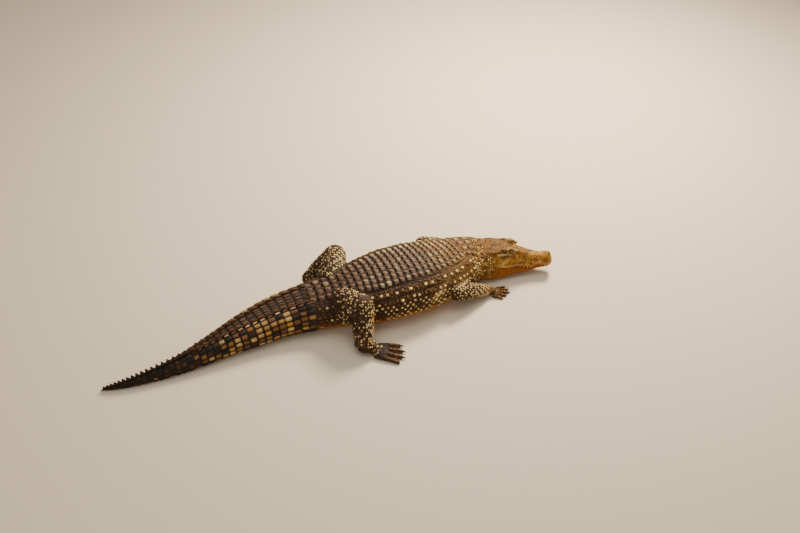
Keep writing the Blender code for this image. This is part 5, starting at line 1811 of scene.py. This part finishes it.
def claw_piece(toe, radius, length, name):
    """One claw: a curved horn that leaves the toe and bends down to the floor."""
    t = np.linspace(-0.16, 1.0, 22)
    x = np.clip(t, 0, 1)
    size = radius * np.sqrt(np.clip(1.02 - x ** 1.7, 0.0004, 1)) * (1 - 0.30 * x)
    lift = 0.10 * length * np.sin(np.pi * np.clip(x, 0, 1) ** 0.8) - 0.16 * length * x ** 2.2
    centre = toe.points[-1] + toe.ahead * (length * t)[:, None]
    centre[:, 2] = np.maximum(centre[:, 2] + lift, 0.0016 + 0.8 * size)
    rings = tube_rings(centre, np.stack([size, 0.78 * size], 1), toe.left, CLAW_SIDES)
    rings[..., 2] = np.maximum(rings[..., 2], 0.0008)
    obj = mesh_object(name, *sweep(rings))
    shade = mix(srgb(40, 28, 18), srgb(104, 82, 58), x ** 1.5 * 0.8)
    shade = np.repeat(shade, CLAW_SIDES, 0)
    paint(obj.data, np.vstack([shade, shade[:1], shade[-1:]]))
    obj.data.shade_smooth()
    return obj


def all_claws(horn):
    """The claws of all feet, each in the place of its node."""
    for kind in ("hind", "fore"):
        for side, word in ((1, "left"), (-1, "right")):
            toes = [toe for toe in toe_lines(kind, side) if toe.clawed]
            for number, toe in enumerate(toes, 1):
                node = "{}_{}_claw_{}".format(kind, word, number)
                obj = claw_piece(toe, 0.84 * toe.thin, 0.96 * CLAW_LONG[kind], "horn_" + node)
                obj.data.materials.append(horn)
                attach(obj, "root")
                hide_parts(node)


def tooth_body(root, tip, radius, out):
    """Points and faces of one tooth, a slightly curved cone."""
    t = np.linspace(0.0, 1.0, TOOTH_RINGS)
    line = root + (tip - root) * t[:, None] + out * (0.0009 * np.sin(np.pi * t))[:, None]
    size = radius * np.sqrt(np.clip(1.0 - t ** 1.5, 0.004, 1))
    normal = unit(np.cross(tip - root, out))
    return sweep(tube_rings(line, np.stack([size, size], 1), normal, TOOTH_SIDES))


def teeth(skin):
    """The teeth that show with the mouth shut, as one piece that stands on the lips."""
    bodies = []
    for side in (1, -1):
        out = HEAD_L * side
        rows = [(u, 0.0045, -0.0050 - 0.0035 * (u in BIG_TEETH_U), 0.0021)
                for u in TEETH_U if u < 0.18]
        rows.append((FOURTH_U, -0.0085, 0.0078, 0.0030))
        for u, start, end, radius in rows:
            end *= 0.70 + 0.50 * one_lot()
            spots = []
            for level in (start, end):
                p = head_point(u, side * 0.12, float(curve(MOUTH, u)) + level)
                hit = skin.tree.ray_cast(Vector(p), Vector(-out))[0]
                if hit is not None:
                    spots.append(np.array(hit))
            if len(spots) < 2:
                continue
            wide = max((spots[0] - spots[1]) @ out, 0.0)
            tip = spots[1] + out * (0.0008 + 0.35 * wide)
            radius *= 1.25 if u in BIG_TEETH_U else 1.0
            bodies.append(tooth_body(spots[0] - out * 0.0010, tip, radius, out))
    t = np.concatenate([np.repeat(np.linspace(0, 1, TOOTH_RINGS), TOOTH_SIDES), [0, 1]])
    shade = mix(srgb(170, 132, 82), srgb(236, 222, 190), ramp(t, 0.05, 0.6))
    obj = mesh_object("teeth", *joined(bodies))
    paint(obj.data, np.tile(shade, (len(bodies), 1)))
    obj.data.shade_smooth()
    return obj


def open_spots(points, roots, gap, step):
    """Indices of points at least gap from every root and at least step from each other."""
    tree = point_tree(roots)
    free = np.array([i for i, p in enumerate(points) if tree.find(p)[2] > gap], int)
    cells = {}
    chosen = []
    around = [(x, y, z) for x in (-1, 0, 1) for y in (-1, 0, 1) for z in (-1, 0, 1)]
    for i in RNG.permutation(free):
        at = points[i]
        x, y, z = np.floor(at / step).astype(int)
        near = [q for dx, dy, dz in around for q in cells.get((x + dx, y + dy, z + dz), ())]
        if near and min(np.linalg.norm(np.array(near) - at, axis=1)) < step:
            continue
        cells.setdefault((x, y, z), []).append(at)
        chosen.append(i)
    return np.array(chosen, int)


def fill_scales(coat, skin, ahead, roots, wanted, gap, step):
    """Small dull scales wherever the wanted skin is still bare."""
    index = np.nonzero(wanted)[0]
    pick = index[open_spots(skin.co[index], roots, gap, step)]
    count = len(pick)
    warm = ramp(skin.s, 0.80, 0.50)[pick]
    top = mix(mix(DARK, UMBER, 0.15 + 0.7 * lot(count)), OCHRE, 0.8 * warm * lot(count))
    size = step * (0.42 + 0.14 * lot(count))
    # Painted shade: scales that stand in a hollow of the skin are darkened.
    coat.add(skin.co[pick], ahead[pick], skin.n[pick], size, 0.92 * size,
             top=mix(top, DEEP, 0.6 * skin.hollow[pick]), **FILL_SCALE)


def body_unwrap(points):
    """Place of trunk and tail points on a flat unwrap of the body."""
    s, side = along_spine(points)
    a = round_body(s, side, points[:, 2])
    return np.stack([0.03 + 0.94 * s / LENGTH, 0.5 + 0.46 * a / np.pi], 1)


def leg_unwrap(points):
    """Place of leg points on a flat unwrap: one quarter of the map for each leg."""
    out = np.zeros((len(points), 2))
    best = np.full(len(points), 1e9)
    legs = [leg_joints(kind, side) for kind in ("hind", "fore") for side in (1, -1)]
    for cell, leg in enumerate(legs):
        joints = [leg.root, leg.knee, leg.ankle, leg.ankle + 0.2 * leg.ahead]
        base = 0.0
        for a, b in zip(joints[:-1], joints[1:]):
            size = np.linalg.norm(b - a)
            t = np.clip(((points - a) @ (b - a)) / size ** 2, 0, 1)
            off = points - (a + t[:, None] * (b - a))
            far = np.linalg.norm(off, axis=1)
            near = far < best
            axis = (b - a) / size
            e1 = unit(np.cross(axis, np.array([0.3, 0.2, 1.0])))
            turn = np.arctan2(off @ np.cross(axis, e1), off @ e1) / (2 * np.pi)
            u = 0.02 + 0.46 * (base + t * size) / 0.75
            out[near, 0] = u[near] + 0.5 * (cell % 2)
            out[near, 1] = 0.25 + 0.42 * turn[near] + 0.5 * (cell // 2)
            best[near] = far[near]
            base += size
    return out


# ---------------------------------------------------------------- colours of the skin
def skin_colours(co, leg):
    """The markings on the skin, from where each point lies on the body."""
    s, side = along_spine(co)
    down = np.abs(round_body(s, side, co[:, 2])) / np.pi
    patch = hash_noise(co, 0.050, 3)
    fleck = hash_noise(co, 0.010, 4)
    tiny = hash_noise(co, 0.0052, 6)
    flank = mix(np.tile(DEEP, (len(co), 1)), BROWN, 0.35 * patch + 0.35 * fleck)
    flank = mix(flank, UMBER, 0.5 * ramp(tiny, 0.62, 0.80))
    flank = mix(flank, mix(BROWN, GOLD, 0.20 + 0.55 * fleck), 0.75 * ramp(s, 0.84, 0.56))
    flank = mix(flank, PALE, 0.85 * shoulder_light(s, 1.22 * down))
    belly = mix(np.tile(ORANGE, (len(co), 1)), TAN, patch)
    belly = mix(belly, PALE, 0.6 * ramp(down, 0.72, 0.9))
    hue = mix(flank, belly, ramp(down + 0.05 * (patch - 0.5), 0.55, 0.62))
    shade = 0.7 - 0.4 * ramp(s, 0.84, 0.56)
    hue = mix(hue, mix(flank, DEEP, shade), 0.8 * ramp(down, 0.35, 0.2))
    tail = mix(np.tile(DEEP, (len(co), 1)), DARK, 0.6 * patch)
    hue = mix(hue, tail, ramp(s, 1.33, 1.45) * (1 - 0.6 * ramp(down, 0.72, 0.85) * (s < 1.9)))
    limb = mix(np.tile(DEEP, (len(co), 1)), BROWN, 0.35 * patch + 0.25 * fleck)
    hue = mix(hue, limb, leg)
    return mix(hue, face_colours(co, patch), ramp(head_coords(co)[0], 0.50, 0.41) * (1 - leg))


def layered(hue, layers):
    """A colour with others laid over it in turn, each by its amount."""
    for colour, amount in layers:
        hue = mix(hue, colour, amount)
    return hue


def face_colours(co, patch):
    """Golden head with small dark flecks, darker lines and pits, and an orange brown jaw."""
    u, across, z = head_coords(co)
    over = z - curve(MOUTH, u)
    fleck = hash_noise(co, 0.0075, 8)
    dots = hash_noise(co, 0.0036, 9)
    gold = layered(np.tile(HONEY, (len(co), 1)), (
        (0.85 * OCHRE, 0.7 * patch),
        (BROWN, 0.55 * ramp(fleck, 0.56, 0.76)),
        (STRAW, 0.22 + 0.30 * ramp(fleck, 0.36, 0.18)),
        (DARK, 0.75 * ramp(dots, 0.76, 0.86)),
        (BROWN, 0.60 * ramp(z, 0.125, 0.165) * (0.6 + 0.4 * patch))))
    gold = layered(gold * (1 - 0.26 * ramp(z, 0.120, 0.165))[:, None], (
        (BROWN, 0.65 * ramp(hash_noise(co, 0.020, 10), 0.50, 0.75)),
        (STRAW, 0.70 * ramp(hash_noise(co, 0.017, 14), 0.56, 0.76) * ramp(u, 0.235, 0.205)),
        (DARK, 0.60 * ramp(hash_noise(co, 0.011, 11), 0.62, 0.80) * ramp(u, 0.10, 0.2)),
        (DARK, 0.45 * ramp(snout_ribs(co, u), 0.2, 0.9) * ramp(u, 0.07, 0.10)
         * ramp(u, 0.23, 0.19))))
    jaw = layered(np.tile(AMBER, (len(co), 1)), (
        (RUST, 0.05 + 0.30 * patch),
        (TAN, 0.5 * ramp(over, -0.030, -0.060)),
        (BROWN, 0.45 * ramp(fleck, 0.55, 0.80)),
        (DARK, 0.7 * ramp(dots, 0.74, 0.86) * ramp(u, 0.20, 0.05))))
    return face_marks(mix(jaw, gold, ramp(over, -0.003, 0.003)), co, u, across, z, over, dots)


def face_marks(hue, co, u, across, z, over, dots):
    """Pale lips, cheek band and lids, and painted shade in the mouth's line, the ear slits, round
    the eyes and in the nostrils.
    """
    flat = np.abs(across)
    lip = bell(over - 0.0075, 0.0060) * ramp(u, 0.315, 0.285)
    band = bell(over - 0.008 - 0.68 * (0.300 - u), 0.0105)
    band *= ramp(u, 0.318, 0.298) * ramp(u, 0.222, 0.245) * ramp(dots, 0.80, 0.55)
    # Painted shade: the line of the shut mouth is darkened along its groove.
    line = bell(over, 0.0019) * ramp(u, MOUTH_END + 0.01, MOUTH_END - 0.01)
    top = curve(HEAD_TOP, u)
    # Painted shadow: the ear slit is darkened where the edge of the skull's table shades it.
    ear = bell(z - (top - EAR_DROP), 0.0024) * (flat > 0.045) * ear_span(u, 0.004, 0.004)
    flap = bell(z - (top - 0.0245), 0.0050) * (flat > 0.045)
    flap *= ramp(u, EAR[0] - 0.008, EAR[0] + 0.006) * ramp(u, EAR[1] + 0.010, EAR[1] - 0.004)
    hue = layered(hue, ((PALE, 0.45 * lip * (0.5 + 0.5 * ramp(u, 0.13, 0.23))),
                        (PALE, 0.50 * band), (DEEP, 0.92 * line * (flat > 0.008)),
                        (DEEP, 0.92 * ear), (CREAM, 0.55 * flap)))
    for turn in (1, -1):
        # Round each eye a dark rim is painted in the gap between lids and ball, partly shade and
        # partly the lids' own dark margin; each nostril's pit is painted dark as shade.
        far = np.linalg.norm(co - eye_centre(turn), axis=1) - EYE_R
        lid = bell(far - 0.0075, 0.0035) * (z < EYE_Z + 0.004)
        brow = bell(far - 0.010, 0.006) * ramp(z, EYE_Z + 0.008, EYE_Z + 0.014)
        du, ds = nostril(u, across, turn, 0.0040)
        hole = np.exp(-(du ** 2 + ds ** 2)) * (z > 0.09)
        hue = layered(hue, ((DARK, 0.88 * bell(far - 0.0012, 0.0030)), (PALE, 0.50 * lid),
                            (PALE, 0.40 * brow), (DEEP, 0.9 * hole)))
    return hue


# ---------------------------------------------------------------- materials
def add_node(tree, kind, **values):
    """A node with named settings and default inputs."""
    node = tree.nodes.new(kind)
    for key, value in values.items():
        if key in node.inputs:
            node.inputs[key].default_value = value
        else:
            setattr(node, key, value)
    return node


def ranged(tree, value, low, high, start=0.30, end=0.70):
    """A value that runs from low to high while the input runs from start to end."""
    node = add_node(tree, "ShaderNodeMapRange")
    for key, number in (("From Min", start), ("From Max", end), ("To Min", low),
                        ("To Max", high)):
        node.inputs[key].default_value = number
    tree.links.new(value, node.inputs["Value"])
    return node.outputs["Result"]


def painted(name, scale, detail, rough, low, high):
    """A material that shows the stored colours, made lighter and darker by a fine noise.

    It comes with its node tree, its shader, the place on the surface and the noise.
    """
    mat = bpy.data.materials.new(name)
    mat.use_nodes = True
    tree = mat.node_tree
    shader = tree.nodes["Principled BSDF"]
    place = add_node(tree, "ShaderNodeNewGeometry").outputs["Position"]
    hue = add_node(tree, "ShaderNodeAttribute", attribute_name="hue")
    grain = noise(tree, place, scale, detail, rough).outputs["Fac"]
    shade = add_node(tree, "ShaderNodeVectorMath", operation="MULTIPLY")
    tree.links.new(hue.outputs["Color"], shade.inputs[0])
    tree.links.new(ranged(tree, grain, low, high), shade.inputs[1])
    tree.links.new(shade.outputs["Vector"], shader.inputs["Base Color"])
    return mat, tree, shader, place, grain


def noise(tree, place, scale, detail, rough):
    """A noise texture over the place on the surface."""
    node = add_node(tree, "ShaderNodeTexNoise", Scale=scale, Detail=detail, Roughness=rough)
    tree.links.new(place, node.inputs["Vector"])
    return node


def times_plus(tree, kind, value, factor, more):
    """value x factor + more, as a node."""
    node = add_node(tree, kind, operation="MULTIPLY_ADD")
    node.inputs[1].default_value = factor
    tree.links.new(value, node.inputs[0])
    tree.links.new(more, node.inputs[2])
    return node.outputs[0]


def raise_relief(tree, shader, height, strength, depth):
    """Relief on the surface from a height."""
    bump = add_node(tree, "ShaderNodeBump", Strength=strength, Distance=depth)
    tree.links.new(height, bump.inputs["Height"])
    tree.links.new(bump.outputs["Normal"], shader.inputs["Normal"])


def hide_material(name, grain, depth, rough, spread, face=False):
    """Hide: stored markings, mottled a little, with grains and fine wrinkles in its relief."""
    mat, tree, shader, place, mottle = painted(name, 90.0, 4.0, 0.65, 1 - spread, 1 + spread)
    cells = add_node(tree, "ShaderNodeTexVoronoi", Scale=grain)
    cells.feature = "SMOOTH_F1"
    tree.links.new(place, cells.inputs["Vector"])
    fine = noise(tree, place, grain * 3.5, 3.0, 0.6)
    height = times_plus(tree, "ShaderNodeMath", cells.outputs["Distance"], -1.0,
                        fine.outputs["Fac"])
    if face:
        height = face_relief(tree, place, height)
    raise_relief(tree, shader, height, 0.75, depth)
    tree.links.new(ranged(tree, mottle, rough - 0.10, rough + 0.12), shader.inputs["Roughness"])
    shader.inputs["Specular IOR Level"].default_value = 0.28
    return mat


def face_relief(tree, place, relief):
    """On the head, cracks between flat irregular fields in place of the body's grains."""
    link = tree.links.new
    bend = add_node(tree, "ShaderNodeTexNoise", Scale=60.0, Detail=2.0)
    link(place, bend.inputs["Vector"])
    shift = times_plus(tree, "ShaderNodeVectorMath", bend.outputs["Color"],
                       (0.010, 0.010, 0.010), place)
    cracks = add_node(tree, "ShaderNodeTexVoronoi", Scale=125.0)
    cracks.feature = "DISTANCE_TO_EDGE"
    link(shift, cracks.inputs["Vector"])
    fields = ranged(tree, cracks.outputs["Distance"], 0.0, 1.0, 0.0, 0.16)
    pores = noise(tree, place, 420.0, 3.0, 0.6)
    both = times_plus(tree, "ShaderNodeMath", pores.outputs["Fac"], 0.55, fields)
    share = add_node(tree, "ShaderNodeAttribute", attribute_name="face")
    blend = add_node(tree, "ShaderNodeMix", data_type="FLOAT")
    link(share.outputs["Fac"], blend.inputs[0])
    link(relief, blend.inputs[2])
    link(both, blend.inputs[3])
    return blend.outputs[0]


def eye_material():
    """Wet eye: stored iris and slit, faint streaks, and a clear glossy coat."""
    mat, _, shader, _, _ = painted("eye_gloss", 900.0, 3.0, 0.6, 0.75, 1.25)
    shader.inputs["Roughness"].default_value = 0.12
    shader.inputs["Specular IOR Level"].default_value = 0.6
    shader.inputs["Coat Weight"].default_value = 1.0
    shader.inputs["Coat Roughness"].default_value = 0.03
    return mat


def horn_material(name, size, rough):
    """Horn or tooth: stored colour with fine growth lines and small scratches."""
    mat, tree, shader, _, lines = painted(name, size, 5.0, 0.7, 0.72, 1.25)
    raise_relief(tree, shader, lines, 0.35, 0.0006)
    tree.links.new(ranged(tree, lines, rough - 0.08, rough + 0.10), shader.inputs["Roughness"])
    return mat


# ---------------------------------------------------------------- floor, light, camera
FLOOR_COLOUR = (0.80, 0.70, 0.54, 1)
LAMPS = (    # name, place, size, power, colour
    ("key", (2.3, 1.9, 2.7), 1.1, 325, (1.0, 0.86, 0.66)),
    ("fill", (-2.5, -3.5, 3.0), 3.5, 34, (1.0, 0.95, 0.90)),
    ("top", (0.4, 0.3, 4.0), 3.0, 62, (1.0, 0.93, 0.82)),
)
CAMERA_AT = (-1.731, -4.078, 3.921)
CAMERA_AIM = (0.095, 0.224, 0.0)


def aimed(name, data, at, aim):
    """A lamp or camera placed at one point and turned to another."""
    obj = linked(bpy.data.objects.new(name, data))
    obj.location = at
    obj.rotation_mode = "QUATERNION"
    obj.rotation_quaternion = (Vector(aim) - Vector(at)).to_track_quat("-Z", "Y")
    return obj


def stage():
    """A plain pale floor, a soft lamp above, and the camera."""
    bpy.ops.mesh.primitive_plane_add(size=400.0, location=(0, 0, 0))
    floor = bpy.context.object
    floor.name = "floor"
    mat = bpy.data.materials.new("floor")
    mat.use_nodes = True
    node = mat.node_tree.nodes["Principled BSDF"]
    node.inputs["Base Color"].default_value = FLOOR_COLOUR
    node.inputs["Roughness"].default_value = 0.9
    floor.data.materials.append(mat)
    for name, at, size, power, colour in LAMPS:
        light = bpy.data.lights.new(name, "AREA")
        light.size = size
        light.energy = power
        light.color = colour
        lamp = aimed(name, light, at, (0, 0, 0))
    world = bpy.data.worlds.new("world")
    world.use_nodes = True
    glow = world.node_tree.nodes["Background"]
    glow.inputs[0].default_value = (1.0, 0.95, 0.88, 1)
    glow.inputs[1].default_value = 0.27
    bpy.context.scene.world = world
    cam = bpy.data.cameras.new("camera")
    cam.lens = 50
    cam.sensor_width = 36
    bpy.context.scene.camera = aimed("camera", cam, CAMERA_AT, CAMERA_AIM)


# ---------------------------------------------------------------- everything together
TINY = (1.0, 0.80, 0.45)    # rings of a scale, as shares of its half size from the rim inwards
SMALL = (1.0, 0.94, 0.72, 0.40)
LARGE = (1.0, 0.95, 0.84, 0.64, 0.42, 0.20)


def finish_coat(coat, skin, sides, shares, unwrap, horn):
    """Build a piece of the coat and give it its material and body."""
    piece = coat.build(skin.tree, sides, shares, unwrap)
    piece.data.materials.append(horn)
    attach(piece, "root")


def coat_pieces(skin, horn):
    """The scales that grow in rows; returns where they stand."""
    taken = {"root": np.zeros((0, 3)), "size": np.zeros(0)}
    for name, maker, sides, shares, unwrap, slot in (
            ("coat_back", back_scutes, 20, LARGE, body_unwrap, "body_hide"),
            ("coat_flank", flank_scales, 12, SMALL, body_unwrap, "body_hide"),
            ("coat_neck", neck_scales, 14, SMALL, body_unwrap, "body_hide"),
            ("coat_belly", belly_plates, 12, SMALL, body_unwrap, "body_hide"),
            ("coat_head", head_coat, 12, SMALL, head_unwrap, "head_hide"),
            ("coat_tail", tail_plates, 16, LARGE, body_unwrap, "tail_hide"),
            ("coat_hind", lambda c, k: leg_coat(c, k, "hind"), 8, SMALL, leg_unwrap,
             "leg_hide"),
            ("coat_fore", lambda c, k: leg_coat(c, k, "fore"), 8, SMALL, leg_unwrap,
             "leg_hide"),
            ("coat_grains", flank_grains, 8, TINY, body_unwrap, "body_hide")):
        coat = Coat(name)
        maker(coat, skin)
        coat.thin(taken)
        finish_coat(coat, skin, sides, shares, unwrap, horn)
    return taken


def fill_pieces(skin, horn, roots):
    """Small dull scales wherever the back, the trunk and the legs are still bare."""
    s = skin.s
    z = skin.co[:, 2]
    along = np.clip(s, 0.0, LENGTH)
    ahead = spine(along)[1]
    place = girth_place(along, skin.side, z)
    above = (z > 0.012) & (skin.n[:, 2] > -0.3)
    body = above & (skin.leg < 0.5)
    back = body & (s > 0.53) & (s < 1.37) & (place < curve(SHIELD, s) + 0.004)
    trunk = body & (s > 0.40) & (s < 1.39) & ~back
    trunk &= place < (BELLY_SHARE - 0.03) * girth_place(s, 0 * s, 0 * s)
    legs = above & (skin.leg > 0.5)
    for name, masks, unwrap, slot in (
            ("coat_fill", ((back, 0.0186, 0.0088), (trunk, 0.0080, 0.0084)),
             body_unwrap, "body_hide"),
            ("coat_fill_legs", ((legs, 0.0072, 0.0080),), leg_unwrap, "leg_hide")):
        coat = Coat(name)
        for wanted, gap, step in masks:
            fill_scales(coat, skin, ahead, roots, wanted, gap, step)
        coat.thin({"root": np.zeros((0, 3)), "size": np.zeros(0)})
        finish_coat(coat, skin, 8, TINY, unwrap, horn)


def build():
    """Skin, coat, and what stays separate."""
    surface, rounds = build_skin()
    skin = Skin(surface, rounds)
    hide = hide_material("hide", grain=330.0, depth=0.0014, rough=0.60, spread=0.24, face=True)
    horn = hide_material("scale_hide", grain=420.0, depth=0.0007, rough=0.54, spread=0.26)
    surface.data.materials.append(hide)
    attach(surface, "root")
    flesh = [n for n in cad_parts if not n.startswith("eye") and "claw" not in n]
    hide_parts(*flesh)
    taken = coat_pieces(skin, horn)
    fill_pieces(skin, horn, taken["root"])
    crest = crest_flaps(body_unwrap)
    crest.data.materials.append(horn)
    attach(crest, "root")
    gloss = eye_material()
    for turn, node in ((1, "eye_left"), (-1, "eye_right")):
        eye = eye_piece(turn, "ball_" + node)
        eye.data.materials.append(gloss)
        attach(eye, "root")
        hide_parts(node)
    all_claws(horn_material("claw_horn", size=260.0, rough=0.34))
    ivory = teeth(skin)
    ivory.data.materials.append(horn_material("tooth_ivory", size=420.0, rough=0.32))
    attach(ivory, "root")


build()
stage()
